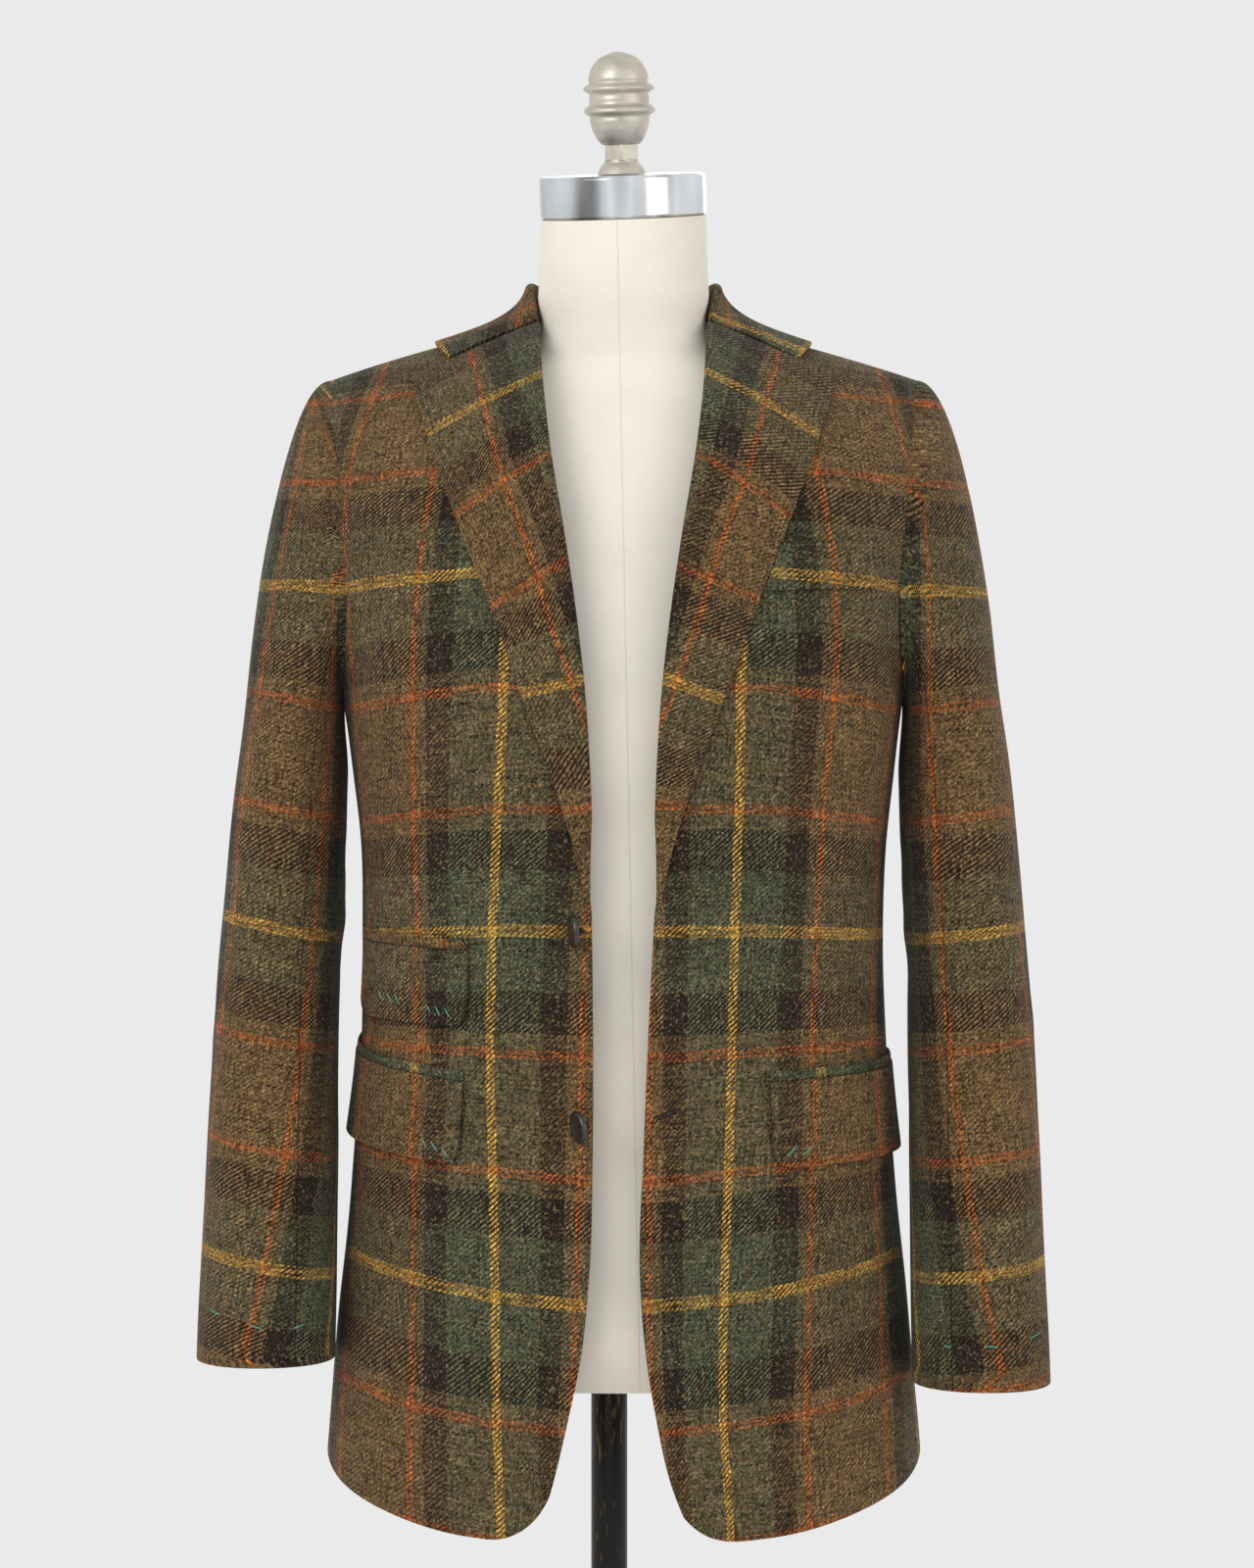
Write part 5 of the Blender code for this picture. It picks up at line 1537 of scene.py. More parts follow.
def make_side(side, cloth):
    """A side body, between the front and back seams, from the hem to under the arm."""
    first_turn = SIDE_FRONT_TURN + GAP_TURN
    last_turn = SIDE_BACK_TURN - GAP_TURN

    def front_seam(v):
        return first_turn, blend(hem_height(first_turn), armhole(FRONT_SEAM_WAY, False)[1], v)

    def back_seam(v):
        top_turn, top_rise = armhole(BACK_SEAM_WAY, True)
        rise = blend(hem_height(SIDE_BACK_TURN), top_rise, v)
        return back_seam_turn(v, top_turn) - GAP_TURN, rise

    def hem(u):
        turn = blend(first_turn, last_turn, u)
        return turn, hem_height(turn)

    def arm(u):
        share = (u - SIDE_ARM_FRONT_SHARE) / (1 - SIDE_ARM_FRONT_SHARE)
        if share < 0:
            way = blend(FRONT_SEAM_WAY, 1.0, u / SIDE_ARM_FRONT_SHARE)
            turn, rise = armhole(way, False)
            return max(turn, first_turn), rise
        turn, rise = armhole(blend(1.0, BACK_SEAM_WAY, share), True)
        return turn - GAP_TURN * share, rise

    return body_sheet("side", side, patch(hem, arm, front_seam, back_seam), body_chart, cloth)


def back_seam_turn(v, top_turn):
    """Turn of the seam between side body and back, which curves in towards the armhole."""
    return blend(SIDE_BACK_TURN, top_turn, v ** 3)


def make_back(side, cloth):
    """A back, from the centre seam to the side seam, armhole and shoulder."""
    centre_turn = 2 - GAP_TURN

    def centre(v):
        return centre_turn, blend(hem_height(2.0), neckline(1.0)[1], v)

    def side_edge(v):
        top_turn, top_rise = armhole(BACK_SEAM_WAY, True)
        if v < BACK_SIDE_SHARE:
            share = v / BACK_SIDE_SHARE
            rise = blend(hem_height(SIDE_BACK_TURN), top_rise, share)
            return back_seam_turn(share, top_turn) + GAP_TURN, rise
        way = BACK_SEAM_WAY * (1 - (v - BACK_SIDE_SHARE) / (1 - BACK_SIDE_SHARE))
        turn, rise = armhole(way, True)
        return turn + GAP_TURN * way ** 4, rise - SEAM_GAP * (1 - way) ** 4

    def hem(u):
        turn = blend(centre_turn, SIDE_BACK_TURN + GAP_TURN, u)
        return turn, hem_height(turn)

    def top(u):
        if u < BACK_NECK_SHARE:
            turn, rise = neckline(blend(1.0, NECK_POINT, u / BACK_NECK_SHARE))
            return min(turn, centre_turn), rise
        x = blend(COLLAR_AT["neck_x"](NECK_POINT), SHOULDER_TIP_X,
                  (u - BACK_NECK_SHARE) / (1 - BACK_NECK_SHARE))
        turn, rise = crown_place(x, 0.0001)
        return turn, rise - SEAM_GAP

    return body_sheet("back", side, patch(hem, top, centre, side_edge), back_chart, cloth)


# --- Lapels and collar --------------------------------------------------------------------

def make_lapel(side, cloth):
    """A lapel: it bends round at the roll line and lies back over the front."""
    tip_height = LAPEL_TIP[1]

    def across(u, v):
        """Distance out and height of a point that lies over the front."""
        roll_height = blend(BREAK_HEIGHT, GORGE_START[1], v)
        edge_height = blend(BREAK_HEIGHT, tip_height, v)
        top_x, top_height = gorge_place(u)
        start = Vector((roll_x(roll_height), roll_height))
        end = Vector((lapel_edge_x(edge_height), edge_height))
        top = Vector((top_x, top_height - SEAM_GAP))
        straight_top = blend(Vector(GORGE_START),
                             Vector((lapel_edge_x(tip_height), tip_height)), u)
        return blend(start, end, u) + (top - straight_top) * v ** 3

    def at(u, v):
        radius = ROLL_RADIUS + ROLL_SWELL * math.sin(math.pi * min(v * 1.1, 1.0))
        up_foot = min(v / ROLL_FOOT, 1.0)
        radius *= blend(ROLL_FOOT_RADIUS, 1.0, up_foot)
        tuck = (radius + CLOTH / 2 + SEAM_GAP) * (1 - up_foot)
        if u < LAPEL_FOLD_SHARE:
            angle = math.pi * u / LAPEL_FOLD_SHARE
            spot = across(0.0, v)
            x = spot.x + tuck - radius * math.sin(angle)
            lift = radius * (1 - math.cos(angle))
        else:
            share = (u - LAPEL_FOLD_SHARE) / (1 - LAPEL_FOLD_SHARE)
            spot = across(share, v)
            x = spot.x + tuck * (1 - share)
            lift = blend(2 * radius, min(LAPEL_EDGE_LIFT, 2 * radius), share)
            lift += LAPEL_BELLY * math.sin(math.pi * share) * math.sin(math.pi * v) ** 0.5
        turn, rise = front_place(x, spot.y)
        return laid_point(side, turn, rise, lift), lapel_chart(side, x, spot.y)

    return cloth_sheet("lapel_" + side, "lapel", at, cloth.thickness)


def make_collar(cloth):
    """The collar: a stand up from the neck seam, folded over into the leaf."""
    up = Vector((0.0, 0.0, 1.0))

    @functools.cache
    def section(way, side):
        """Seam, fold and leaf points of the half collar, and the direction out from the neck."""
        seam = body_point(side, *neckline(way))
        seam.z += STAND_CLEAR
        out = Vector((seam.x, seam.y - SHOULDER_Y, 0.0))
        out = Vector((SIGN[side] * 0.75, -0.66, 0.0)) if out.length < 0.01 else out.normalized()
        stand = COLLAR_AT["stand"](way)
        fold = seam + Vector((0.0, 0.0, stand)) - out * STAND_LEAN * min(stand / 0.02, 1.0)
        edge_turn, edge_rise = crown_place(COLLAR_AT["edge_x"](way),
                                           COLLAR_AT["edge_angle"](way))
        edge = laid_point(side, edge_turn, edge_rise, LEAF_LIFT)
        return seam, fold, edge, out

    def half(u, way, side):
        """A point of the half collar, and how far its cloth runs in from the leaf's edge."""
        seam, fold, edge, out = section(way, side)
        start = fold + out * 2 * COLLAR_FOLD_RADIUS
        leaf = (edge - start).length
        turned = math.pi * COLLAR_FOLD_RADIUS
        if u < STAND_SHARE:
            share = u / STAND_SHARE
            return blend(seam, fold, share), leaf + turned + (1 - share) * (fold - seam).length
        if u < STAND_AND_FOLD_SHARE:
            share = (u - STAND_SHARE) / (STAND_AND_FOLD_SHARE - STAND_SHARE)
            angle = math.pi * share
            point = (fold + out * COLLAR_FOLD_RADIUS * (1 - math.cos(angle))
                     + up * COLLAR_FOLD_RADIUS * math.sin(angle))
            return point, leaf + turned * (1 - share)
        share = (u - STAND_AND_FOLD_SHARE) / (1 - STAND_AND_FOLD_SHARE)
        bend = seam + out * LEAF_BEND[0] + up * LEAF_BEND[1]
        gorge_line = blend(start, edge, 0.5) + up * 0.002
        bend = blend(gorge_line, bend, min(way / 0.2, 1.0))
        point = start * (1 - share) ** 2 + bend * 2 * share * (1 - share) + edge * share ** 2
        return point, leaf * (1 - share)

    def at(u, v):
        side = "right" if v < 0.5 else "left"
        point, from_edge = half(u, 1 - abs(2 * v - 1), side)
        along = (v - 0.5) * COLLAR_LENGTH
        return point, (from_edge - COLLAR_GOLD_IN, along + COLLAR_START)

    return cloth_sheet("collar", "collar", at, cloth.thickness)


COLLAR_LENGTH = 0.42        # round the leaf
COLLAR_GOLD_IN = -0.0008    # its gold line, from the leaf's edge
COLLAR_START = 0.030        # place up the checks at the centre back


# --- Sleeves ------------------------------------------------------------------------------

def sleeve_middle(side):
    """The middle line of a sleeve, by height."""
    def middle(point):
        height = min(max(point.z, SLEEVE[-1][0]), SLEEVE[0][0])
        x = SIGN[side] * (SLEEVE_AT["outer"](height) + SLEEVE_AT["inner"](height)) / 2
        return Vector((x, SLEEVE_AT["middle"](height), point.z)) + FORM_SHIFT
    return middle


def make_sleeve(side, cloth):
    """The top sleeve, over the outer arm, and the under sleeve along its inner side."""
    start, end = UNDER_SLEEVE
    whole = 2 * math.pi
    rows = GRID["sleeve_top"][1]
    rings = []
    for step in range(rows + 1):
        rings.append(SleeveRow(side, step / rows, rings[-1] if rings else None))

    def spot(angle, v):
        point = sleeve_point(side, angle % whole, v)
        ring = rings[round(v * rows)]
        path = 0.0
        if v > 1 - SLEEVE_HEAD_SHARE:
            foot = sleeve_ring(side, angle % whole, SLEEVE[0][0])
            path = max((point - foot).length - (point.z - foot.z), 0.0)
        return point, (ring.across(side, angle), sleeve_up(side, point, path))

    def top_at(u, v):
        return spot(blend(end + SLEEVE_GAP - whole, start - SLEEVE_GAP, u), v)

    def under_at(u, v):
        return spot(blend(start + SLEEVE_GAP, end - SLEEVE_GAP, u), v)

    def fold_side(point):
        held = min(max(point.z, SLEEVE[-1][0]), SLEEVE[0][0])
        return "sleeve_front" if point.y < SLEEVE_AT["middle"](held) else "sleeve_back"

    for kind, at in (("sleeve_top", top_at), ("sleeve_under", under_at)):
        cloth_sheet(f"{kind}_{side}", kind, at, cloth.thickness,
                    sleeve_middle(side), fold_side)


# --- Pockets ------------------------------------------------------------------------------

def make_pocket(cloth, name, side, front_x, front_height, rear_turn, rear_height, depth, lean):
    """A jetting and the flap below it, laid on the front by its own points."""
    start_turn, start_rise = front_place(front_x, front_height)
    width = (rear_turn - start_turn) * TURN_METRES
    strip_across, strip_up = JETTING_CUT[name]

    def top_line(u):
        return blend(start_turn, rear_turn, u), blend(start_rise, rear_height, u)

    def jetting(u, v):
        turn, rise = top_line(u)
        swell = JETTING_SWELL * math.sin(math.pi * v) ** 0.5
        lift = cloth.thickness / 2 + LAID_ON + cloth.trim_thickness / 2 + swell
        point = laid_point(side, turn, rise - JETTING * (1 - v), lift)
        return point, (strip_across + JETTING * v, strip_up + width * u)

    off, more = FLAP_STANDS

    def flap(u, v):
        ease = 0.5 - 0.5 * math.cos(math.pi * u)
        turn, rise = top_line(ease)
        from_end = min(ease, 1 - ease) * width
        short = 0.0
        if from_end < FLAP_CORNER:
            over = FLAP_CORNER - from_end
            short = FLAP_CORNER - math.sqrt(max(FLAP_CORNER ** 2 - over ** 2, 0.0))
        down = JETTING + SEAM_GAP + (depth - short) * (1 - v)
        lift = cloth.thickness + LAID_ON + off + (more + lean * ease ** 3) * (1 - v)
        point = laid_point(side, turn, rise - down, lift)
        return point, body_chart(side, turn, rise - down, point.z)

    ending = "" if name == "ticket" else "_" + side
    cloth_sheet(f"{name}_jetting{ending}", "jetting", jetting, cloth.trim_thickness)
    cloth_sheet(f"{name}_flap{ending}", "flap", flap, cloth.thickness)


JETTING_SWELL = 0.0004      # how far a jetting rounds up between its two seams
# Where on the checks each pocket's jettings are cut: across and up.
JETTING_CUT = {
    "ticket": (WARP_TAN - 0.010, WEFT_TAN - 0.055),
    "hip": (WARP_GREEN, WEFT_REPEAT - 0.036),
}


def make_breast_welt(cloth):
    """The breast pocket's welt, a strip whose front end meets the lapel's edge."""
    def at(u, v):
        height = WELT_TOP + WELT_SLOPE * u - WELT_DEPTH * (1 - v)
        x = blend(lapel_edge_x(height) + 2 * SEAM_GAP, WELT_REAR_X, u)
        lift = cloth.thickness / 2 + LAID_ON + cloth.trim_thickness / 2
        turn, rise = front_place(x, height)
        point = laid_point("left", turn, rise, lift)
        return point, body_chart("left", turn, rise, point.z)

    cloth_sheet("breast_welt", "welt", at, cloth.trim_thickness)


# --- Threads ------------------------------------------------------------------------------

def add_thread(shape, points, radius):
    """A round thread through some points, closed at both ends."""
    points = [Vector(point) for point in points]
    rings = []
    for step, point in enumerate(points):
        along = points[min(step + 1, len(points) - 1)] - points[max(step - 1, 0)]
        turn = along.to_track_quat("Z", "Y").to_matrix().to_4x4()
        made = bmesh.ops.create_circle(shape, cap_ends=False, segments=THREAD_SIDES,
                                       radius=radius, matrix=Matrix.Translation(point) @ turn)
        ring = set(made["verts"])
        rings.append([edge for edge in shape.edges if set(edge.verts) <= ring])
    for lower, upper in zip(rings, rings[1:]):
        bmesh.ops.bridge_loops(shape, edges=lower + upper)
    for end in (rings[0], rings[-1]):
        bmesh.ops.holes_fill(shape, edges=end, sides=THREAD_SIDES)


THREAD_SIDES = 7
BASTING_RADIUS = 0.00032
BASTING_LIFT = 0.0004
BASTING_STEPS = 6
STITCH_SINK = 0.0014


def add_stitch(shape, ends, place, lift):
    """A basting stitch whose ends dip into the cloth that place gives points of."""
    x0, z0, x1, z1 = ends
    points = []
    for step in range(BASTING_STEPS + 1):
        share = step / BASTING_STEPS
        sink = -STITCH_SINK * (1 - math.sin(math.pi * share) ** 0.4)
        spot = place(blend(x0, x1, share), blend(z0, z1, share), lift + sink)
        points.append(spot + FORM_SHIFT)
    add_thread(shape, points, BASTING_RADIUS)


def flap_point(side, x, z, lift):
    """The point over the front at a distance out and a height."""
    turn, rise = front_place(abs(x), z)
    return laid_point(side, turn, rise, lift)


def sleeve_front_point(side, x, z, lift):
    """The point of a sleeve's front at a distance out and a height."""
    outer, inner = SLEEVE_AT["outer"](z), SLEEVE_AT["inner"](z)
    share = (2 * abs(x) - outer - inner) / (outer - inner)
    share = min(max(share, -0.98), 0.98)
    angle = math.acos(math.copysign(abs(share) ** (SLEEVE_SQUARENESS / 2), share))
    point = sleeve_ring(side, angle, z)
    out = (sleeve_ring(side, angle + 0.02, z) - point).cross(Vector((0.0, 0.0, -SIGN[side])))
    if out.y > 0:
        out = -out
    return point + out.normalized() * (lift + fold_depth("sleeve_front", point))


def make_basting(trim):
    """The green threads that still hold the flaps and the cuff vents shut."""
    shape = bmesh.new()
    for stitches, place, lift in ((FLAP_STITCHES, flap_point, FLAP_TOP_LIFT),
                                  (CUFF_STITCHES, sleeve_front_point,
                                   CLOTH / 2 + BASTING_LIFT)):
        for side, *ends in stitches:
            add_stitch(shape, ends, functools.partial(place, side), lift)
    bmesh.ops.recalc_face_normals(shape, faces=shape.faces[:])
    return new_piece("basting_threads", shape, "tweed",
                     finish=thread_finish("basting", tuple(trim.basting)))


def make_buttonholes(trim):
    """Two worked buttonholes on the wearer's left: close stitches round a slit."""
    shape = bmesh.new()
    for x0, z0, x1, z1, lift in BUTTONHOLES:
        start, end = Vector((x0, z0)), Vector((x1, z1))
        beside = Vector((z0 - z1, x1 - x0)).normalized() * HOLE_HALF_WIDTH
        for step in range(HOLE_STITCHES + 1):
            middle = blend(start, end, step / HOLE_STITCHES)
            ends = []
            for share in (-1.0, -0.25, 0.25, 1.0):
                spot = middle + beside * share
                turn, rise = front_place(spot.x, spot.y)
                ends.append(laid_point("left", turn, rise, lift - 0.0004 * abs(share))
                            + FORM_SHIFT)
            add_thread(shape, ends[:2], HOLE_THREAD)
            add_thread(shape, ends[2:], HOLE_THREAD)
    bmesh.ops.recalc_face_normals(shape, faces=shape.faces[:])
    return new_piece("buttonhole_stitches", shape, "tweed",
                     finish=thread_finish("buttonhole_silk", tuple(trim.buttonhole)))


HOLE_HALF_WIDTH = 0.0016
HOLE_STITCHES = 22
HOLE_THREAD = 0.00036
FLAP_TOP_LIFT = 0.0056
# Each stitch's wearer's side, and where it starts and ends: distance across, and height.
FLAP_STITCHES = (
    ("right", -0.1541, 1.0279, -0.1504, 1.0205),
    ("right", -0.1485, 1.0267, -0.1442, 1.0186),
    ("right", -0.1436, 1.0267, -0.1392, 1.0174),
    ("right", -0.1225, 1.0199, -0.1194, 1.0137),
    ("right", -0.1181, 1.0205, -0.1125, 1.0106),
    ("right", -0.1119, 1.0192, -0.1070, 1.0099),
    ("right", -0.1262, 0.9355, -0.1212, 0.9268),
    ("right", -0.1206, 0.9343, -0.1138, 0.9244),
    ("right", -0.1144, 0.9318, -0.1063, 0.9200),
    ("left", 0.0995, 0.9213, 0.1094, 0.9324),
    ("left", 0.1094, 0.9225, 0.1200, 0.9312),
)
CUFF_STITCHES = (
    ("right", -0.2638, 0.8244, -0.2557, 0.8220),
    ("right", -0.2383, 0.8170, -0.2284, 0.8145),
    ("right", -0.2116, 0.8139, -0.2029, 0.8164),
    ("left", 0.2041, 0.8027, 0.2091, 0.8027),
    ("left", 0.2277, 0.8039, 0.2389, 0.8033),
    ("left", 0.2569, 0.8070, 0.2663, 0.8102),
)
# Each buttonhole's ends, across and up, and how far it stands off the front.
BUTTONHOLES = (
    (0.0268, 1.1976, 0.0380, 1.2045, 0.0062),
    (0.0205, 0.9490, 0.0330, 0.9540, 0.0012),
)


# --- Buttons ------------------------------------------------------------------------------

def button_frame(height, from_centre, degrees, lean):
    """Where a button sits: its own middle and axes."""
    turn = math.radians(degrees)
    facing = Vector((-math.sin(turn), -math.cos(turn), 0.0))
    seat = body_point("right", *front_place(from_centre, height), CLOTH / 2)
    seat += Vector((0.0, -BUTTON_STAND, 0.0)) + FORM_SHIFT
    leaned = Matrix.Rotation(math.radians(-lean), 4, "Y")
    return Matrix.Translation(seat) @ leaned @ facing.to_track_quat("Z", "Y").to_matrix().to_4x4()


def make_button(name, height, from_centre, degrees, lean):
    """A horn button, from its solid, with its thread through the holes and down the shank."""
    shape = bmesh.new()
    shape.from_mesh(frame["nodes"][name].data)
    bmesh.ops.remove_doubles(shape, verts=shape.verts[:], dist=0.00001)
    bmesh.ops.dissolve_limit(shape, angle_limit=math.radians(1.0), verts=shape.verts[:],
                             edges=shape.edges[:])
    horn = new_piece(name + "_horn", shape, "horn", (name,))
    horn.data.set_sharp_from_angle(angle=math.radians(38.0))
    soften_edges(horn, 0.0002, 2, 38.0)

    at = button_frame(height, from_centre, degrees, lean)
    threads = bmesh.new()
    half = BUTTON_THICK / 2
    spread = BUTTON_HOLE_SPREAD
    for y in (-spread, spread):
        for strand in (-0.0003, 0.0003):
            row = y + strand
            points = ((-spread, row, half - 0.0022), (-spread * 0.8, row, half - 0.0006),
                      (0.0, row, half - 0.0003), (spread * 0.8, row, half - 0.0006),
                      (spread, row, half - 0.0022))
            add_thread(threads, [at @ Vector(point) for point in points], 0.00030)
    coil = []
    for step in range(SHANK_TURNS * 12 + 1):
        angle = math.radians(30.0 * step)
        depth = -half - 0.0002 - (SHANK_LENGTH - half) * step / (SHANK_TURNS * 12)
        reach = SHANK_RADIUS + 0.00015
        coil.append(at @ Vector((reach * math.cos(angle), reach * math.sin(angle), depth)))
    add_thread(threads, coil, 0.00034)
    # From the shank's foot to the cloth, a bundle of strands a little slack.
    foot = at @ Vector((0.0, 0.0, -SHANK_LENGTH))
    seat = body_point("right", *front_place(from_centre, height - 0.0015), CLOTH / 2)
    seat = seat + FORM_SHIFT
    for strand in range(SHANK_STRANDS):
        angle = 2 * math.pi * strand / SHANK_STRANDS
        apart = Vector((math.cos(angle), 0.0, math.sin(angle))) * 0.0006
        sag = Vector((0.0, 0.0, -0.0012))
        add_thread(threads, (foot + apart, blend(foot, seat, 0.5) + apart + sag,
                             seat + apart), 0.00035)
    bmesh.ops.recalc_face_normals(threads, faces=threads.faces[:])
    new_piece(name + "_thread", threads, "horn", finish=finish_for_thread())


SHANK_TURNS = 5
SHANK_STRANDS = 6


def finish_for_thread():
    """The buttons' thread, made once."""
    if "button_thread" not in MADE:
        MADE["button_thread"] = thread_finish("button_thread", (0.045, 0.033, 0.024))
    return MADE["button_thread"]


# --- Dress form ---------------------------------------------------------------------------

def neck_turn(share=1.0):
    """A share of the neck's lean forwards and to the side."""
    return (Matrix.Rotation(NECK_ROLL * share, 4, "Y")
            @ Matrix.Rotation(NECK_TILT * share, 4, "X"))


def form_point(angle, height):
    """A point of the padded form."""
    x_part, y_part = math.cos(angle), math.sin(angle)
    power = 2 / FORM_SQUARENESS
    middle = (FORM_AT["back"](height) - FORM_AT["front"](height)) / 2
    half = (FORM_AT["back"](height) + FORM_AT["front"](height)) / 2
    x = FORM_AT["half_width"](height) * math.copysign(abs(x_part) ** power, x_part)
    y = half * math.copysign(abs(y_part) ** power, y_part)
    lean = FORM_AT["tilt"](height) / math.degrees(NECK_TILT)
    return neck_turn(lean) @ Vector((x, y, 0.0)) + Vector((0.0, middle, height))


FORM_GRID = (144, 150)


def make_form():
    """The padded torso and neck in its cotton cover."""
    columns, rows = FORM_GRID
    shape = bmesh.new()
    bmesh.ops.create_grid(shape, x_segments=columns, y_segments=rows, size=0.5)
    low, high = FORM[0][0], FORM[-1][0]
    for vert in shape.verts:
        angle = 2 * math.pi * (vert.co.x + 0.5)
        vert.co = form_point(angle, blend(low, high, vert.co.y + 0.5)) + FORM_SHIFT
    bmesh.ops.remove_doubles(shape, verts=shape.verts[:], dist=0.00002)
    open_edges = [edge for edge in shape.edges if edge.is_boundary]
    bmesh.ops.holes_fill(shape, edges=open_edges, sides=0)
    bmesh.ops.recalc_face_normals(shape, faces=shape.faces[:])
    body = new_piece("form_cover", shape, "form_cloth", ("form_body",))
    body.data.set_sharp_from_angle(angle=math.radians(50.0))


def turned_shape(profile, steps):
    """A shape turned from a profile of radius and height that runs from its top down."""
    shape = bmesh.new()
    verts = [shape.verts.new((radius, 0.0, height)) for radius, height in profile]
    for upper, lower in zip(verts, verts[1:]):
        shape.edges.new((upper, lower))
    bmesh.ops.spin(shape, geom=shape.verts[:] + shape.edges[:], cent=(0.0, 0.0, 0.0),
                   axis=(0.0, 0.0, 1.0), angle=2 * math.pi, steps=steps, use_merge=True)
    bmesh.ops.remove_doubles(shape, verts=shape.verts[:], dist=0.00001)
    bmesh.ops.recalc_face_normals(shape, faces=shape.faces[:])
    return shape


def neck_frame(above):
    """The neck's own axis, a distance above its top."""
    turn = neck_turn()
    spot = NECK_TOP + (turn @ Vector((0.0, 0.0, above))) + FORM_SHIFT
    return Matrix.Translation(spot) @ turn


def make_cap():
    """The polished band and top that close the neck, with a narrow turned groove."""
    inner = CAP_RADIUS - CAP_EDGE
    profile = (
        (0.0, CAP_HEIGHT),
        (inner - 0.0030, CAP_HEIGHT),
        (inner - 0.0024, CAP_HEIGHT - 0.0005),
        (inner - 0.0018, CAP_HEIGHT),
        (inner, CAP_HEIGHT),
        (CAP_RADIUS, CAP_HEIGHT - CAP_EDGE),
        (CAP_RADIUS, CAP_EDGE),
        (inner, 0.0),
        (0.0, 0.0),
    )
    shape = turned_shape(profile, 160)
    bmesh.ops.transform(shape, matrix=neck_frame(PART_GAP), verts=shape.verts[:])
    cap = new_piece("neck_band", shape, "polished_steel", ("neck_cap",))
    cap.data.set_sharp_from_angle(angle=math.radians(30.0))
    soften_edges(cap, 0.0005, 3, 30.0)


def make_finial():
    """The cast finial: foot, six-sided neck, and the ringed knob."""
    radius_at = curve(FINIAL, FINIAL_COLUMNS, "radius")
    foot_top, knob_foot, top = 0.0098, 0.0192, FINIAL[-1][0]
    knob = [(radius_at(height), height) for height in np.linspace(top, knob_foot, 110)]
    knob = [(0.0, top + 0.0008), (0.0030, top + 0.0005)] + knob + [(0.0, knob_foot)]
    foot = [(0.0, foot_top)] + [(radius_at(height), height)
                                for height in np.linspace(foot_top, 0.0, 16)] + [(0.0, 0.0)]
    shape = turned_shape(knob, 128)
    mesh = bpy.data.meshes.new("finial_foot")
    lower = turned_shape(foot, 128)
    lower.to_mesh(mesh)
    lower.free()
    shape.from_mesh(mesh)
    bpy.data.meshes.remove(mesh)
    hexagon = Matrix.Translation((0.0, 0.0, (foot_top + knob_foot) / 2))
    bmesh.ops.create_cone(shape, cap_ends=True, segments=6, radius1=HEX_RADIUS,
                          radius2=HEX_RADIUS, depth=knob_foot - foot_top + 0.002,
                          matrix=hexagon)
    bmesh.ops.transform(shape, matrix=neck_frame(CAP_HEIGHT + 2 * PART_GAP),
                        verts=shape.verts[:])
    finial = new_piece("finial_casting", shape, "cast_nickel", ("finial",))
    finial.data.set_sharp_from_angle(angle=math.radians(40.0))
    soften_edges(finial, 0.0006, 3, 40.0)


HEX_RADIUS = 0.0122


def make_pole():
    """The enamelled pole, from inside the base's collar up into the form."""
    shoulder = POLE_RADIUS / 12
    profile = (
        (0.0, POLE_TOP),
        (POLE_RADIUS - shoulder, POLE_TOP),
        (POLE_RADIUS, POLE_TOP - shoulder),
        (POLE_RADIUS, POLE_FOOT),
        (0.0, POLE_FOOT),
    )
    pole = new_piece("enamelled_pole", turned_shape(profile, 72), "black_enamel", ("pole",))
    pole.data.set_sharp_from_angle(angle=math.radians(40.0))


def make_base():
    """The round base, with a collar that holds the pole's foot."""
    well = POLE_RADIUS + PART_GAP
    floor = POLE_FOOT - PART_GAP
    profile = [(0.0, floor), (well, floor), (well, BASE[0][0])]
    profile += [(radius, height) for height, radius in BASE]
    profile.append((0.0, 0.0))
    base = new_piece("round_base", turned_shape(profile, 160), "black_enamel", ("base",))
    base.data.set_sharp_from_angle(angle=math.radians(28.0))
    soften_edges(base, 0.0012, 3, 28.0)


# --- Studio -------------------------------------------------------------------------------

FLOOR_RADIUS = 2.4
TARGET = Vector((0.0, 0.0, 1.12))
KEY_PLACE = Vector((-1.7, -2.3, 2.3))
FILL_PLACE = Vector((2.2, -1.9, 1.5))
BACK_PLACE = Vector((0.6, 2.4, 2.2))


def make_floor():
    """A round pale floor."""
    shape = bmesh.new()
    bmesh.ops.create_circle(shape, cap_ends=True, segments=96, radius=FLOOR_RADIUS)
    mesh = bpy.data.meshes.new("studio_floor")
    shape.to_mesh(mesh)
    shape.free()
    mesh.materials.append(finish_for("paper"))
    floor = bpy.data.objects.new("studio_floor", mesh)
    bpy.context.scene.collection.objects.link(floor)


def softbox(name, place, size, power):
    """A square area light turned to the form."""
    light = bpy.data.lights.new(name, "AREA")
    light.shape = "SQUARE"
    light.size = size
    light.energy = power
    obj = bpy.data.objects.new(name, light)
    obj.location = place
    obj.rotation_euler = (TARGET - place).to_track_quat("-Z", "Y").to_euler()
    bpy.context.scene.collection.objects.link(obj)


def make_room(studio):
    """Paper-white light from all round."""
    world = bpy.data.worlds.new("studio_room")
    world.use_nodes = True
    background = world.node_tree.nodes["Background"]
    background.inputs["Color"].default_value = (studio.paper,) * 3 + (1.0,)
    background.inputs["Strength"].default_value = 1.0
    bpy.context.scene.world = world
    bpy.context.scene.view_settings.view_transform = "Standard"


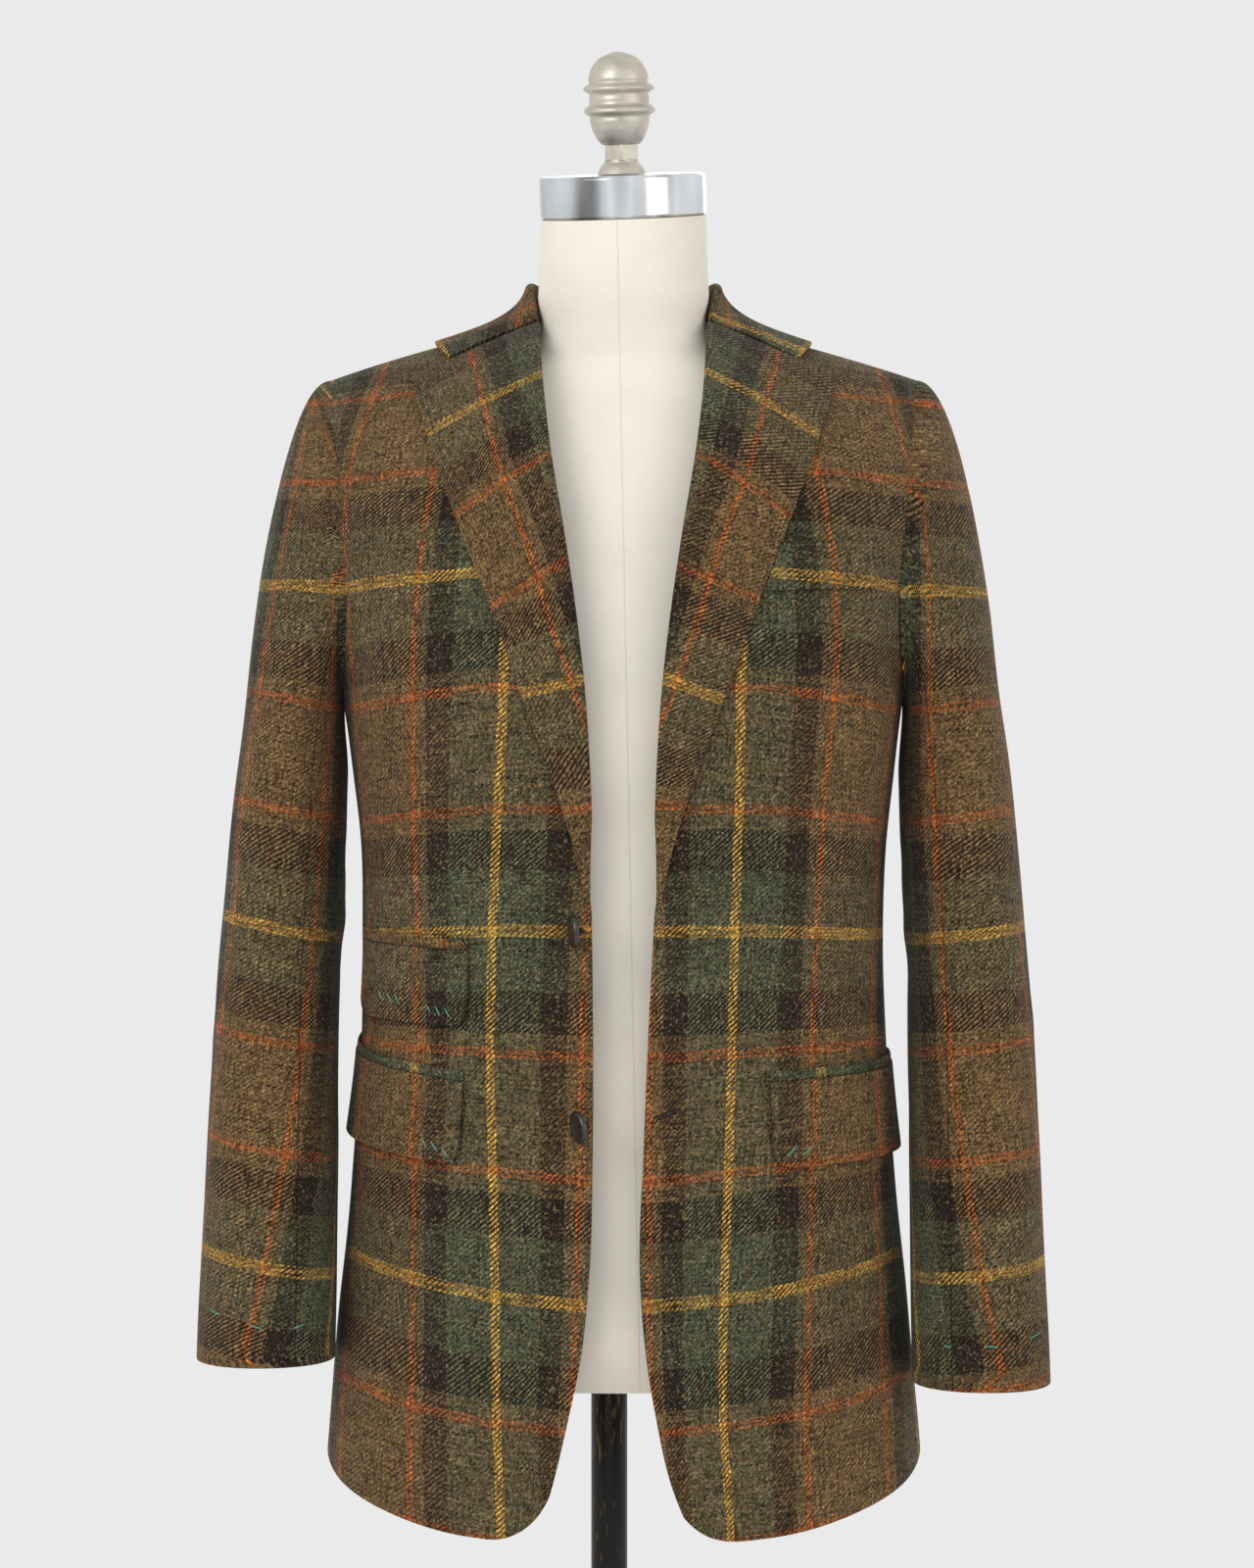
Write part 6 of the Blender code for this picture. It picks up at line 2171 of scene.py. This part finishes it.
def make_camera(studio):
    """A level camera in front of the form."""
    data = bpy.data.cameras.new("camera")
    data.lens = studio.lens
    data.sensor_width = 36.0
    camera = bpy.data.objects.new("camera", data)
    camera.location = (studio.camera_x, -studio.camera_distance, studio.camera_height)
    camera.rotation_euler = (math.radians(90.0), 0.0, 0.0)
    bpy.context.scene.collection.objects.link(camera)
    bpy.context.scene.camera = camera


# --- Operators ----------------------------------------------------------------------------

class JACKET_OT_studio(bpy.types.Operator):
    """Set the floor, the light and the camera"""

    bl_idname = "jacket.studio"
    bl_label = "Set Up the Studio"

    def execute(self, context):
        studio = context.scene.studio
        make_room(studio)
        make_floor()
        softbox("key_softbox", KEY_PLACE, 1.6, studio.key)
        softbox("fill_softbox", FILL_PLACE, 1.6, studio.fill)
        softbox("back_softbox", BACK_PLACE, 1.6, studio.fill)
        make_camera(studio)
        return {"FINISHED"}


class JACKET_OT_form(bpy.types.Operator):
    """Cover the padded form and turn its neck band and finial"""

    bl_idname = "jacket.form"
    bl_label = "Make the Dress Form"

    def execute(self, context):
        make_form()
        make_cap()
        make_finial()
        return {"FINISHED"}


class JACKET_OT_stand(bpy.types.Operator):
    """Turn the pole and the base that the form stands on"""

    bl_idname = "jacket.stand"
    bl_label = "Make the Stand"

    def execute(self, context):
        make_pole()
        make_base()
        return {"FINISHED"}


class JACKET_OT_body(bpy.types.Operator):
    """Cut and drape the fronts, side bodies and backs"""

    bl_idname = "jacket.body"
    bl_label = "Cut the Body"

    def execute(self, context):
        cloth = context.scene.jacket_cloth
        for side in SIDES:
            make_front(side, cloth)
            make_side(side, cloth)
            make_back(side, cloth)
        return {"FINISHED"}


class JACKET_OT_sleeves(bpy.types.Operator):
    """Cut and hang the two-piece sleeves"""

    bl_idname = "jacket.sleeves"
    bl_label = "Cut the Sleeves"

    def execute(self, context):
        for side in SIDES:
            make_sleeve(side, context.scene.jacket_cloth)
        return {"FINISHED"}


class JACKET_OT_lapels(bpy.types.Operator):
    """Turn the lapels over and fold the collar down"""

    bl_idname = "jacket.lapels"
    bl_label = "Cut the Lapels and Collar"

    def execute(self, context):
        cloth = context.scene.jacket_cloth
        for side in SIDES:
            make_lapel(side, cloth)
        make_collar(cloth)
        return {"FINISHED"}


class JACKET_OT_pockets(bpy.types.Operator):
    """Lay on the jettings, flaps and breast welt"""

    bl_idname = "jacket.pockets"
    bl_label = "Cut the Pockets"

    def execute(self, context):
        cloth = context.scene.jacket_cloth
        for row in POCKETS:
            make_pocket(cloth, *row)
        make_breast_welt(cloth)
        return {"FINISHED"}


class JACKET_OT_buttons(bpy.types.Operator):
    """Polish the horn buttons and sew them on"""

    bl_idname = "jacket.buttons"
    bl_label = "Sew on the Buttons"

    def execute(self, context):
        for row in BUTTONS:
            make_button(*row)
        return {"FINISHED"}


class JACKET_OT_threads(bpy.types.Operator):
    """Work the buttonholes and leave the basting in"""

    bl_idname = "jacket.threads"
    bl_label = "Sew the Buttonholes and Basting"

    def execute(self, context):
        trim = context.scene.jacket_trim
        make_basting(trim)
        make_buttonholes(trim)
        return {"FINISHED"}


OPERATORS = (
    JACKET_OT_studio,
    JACKET_OT_form,
    JACKET_OT_stand,
    JACKET_OT_body,
    JACKET_OT_sleeves,
    JACKET_OT_lapels,
    JACKET_OT_pockets,
    JACKET_OT_buttons,
    JACKET_OT_threads,
)


class JACKET_PT_sidebar(bpy.types.Panel):
    """The jacket's steps and settings"""

    bl_label = "Jacket"
    bl_idname = "JACKET_PT_sidebar"
    bl_space_type = "VIEW_3D"
    bl_region_type = "UI"
    bl_category = "Jacket"

    def draw(self, context):
        for operator in OPERATORS:
            self.layout.operator(operator.bl_idname)
        for name in SETTINGS:
            group = getattr(context.scene, name)
            box = self.layout.box()
            for setting in group.bl_rna.properties.keys():
                if setting not in ("rna_type", "name"):
                    box.prop(group, setting)


def register():
    """Add the settings, the operators and the panel."""
    for name, group in SETTINGS.items():
        bpy.utils.register_class(group)
        setattr(bpy.types.Scene, name, PointerProperty(type=group))
    for thing in (*OPERATORS, JACKET_PT_sidebar):
        bpy.utils.register_class(thing)


def unregister():
    """Take them out again."""
    for thing in reversed((*OPERATORS, JACKET_PT_sidebar)):
        bpy.utils.unregister_class(thing)
    for name, group in SETTINGS.items():
        delattr(bpy.types.Scene, name)
        bpy.utils.unregister_class(group)


def main():
    """Build every piece."""
    register()
    for operator in OPERATORS:
        getattr(bpy.ops.jacket, operator.bl_idname.split(".")[1])()


if __name__ == "__main__":
    main()
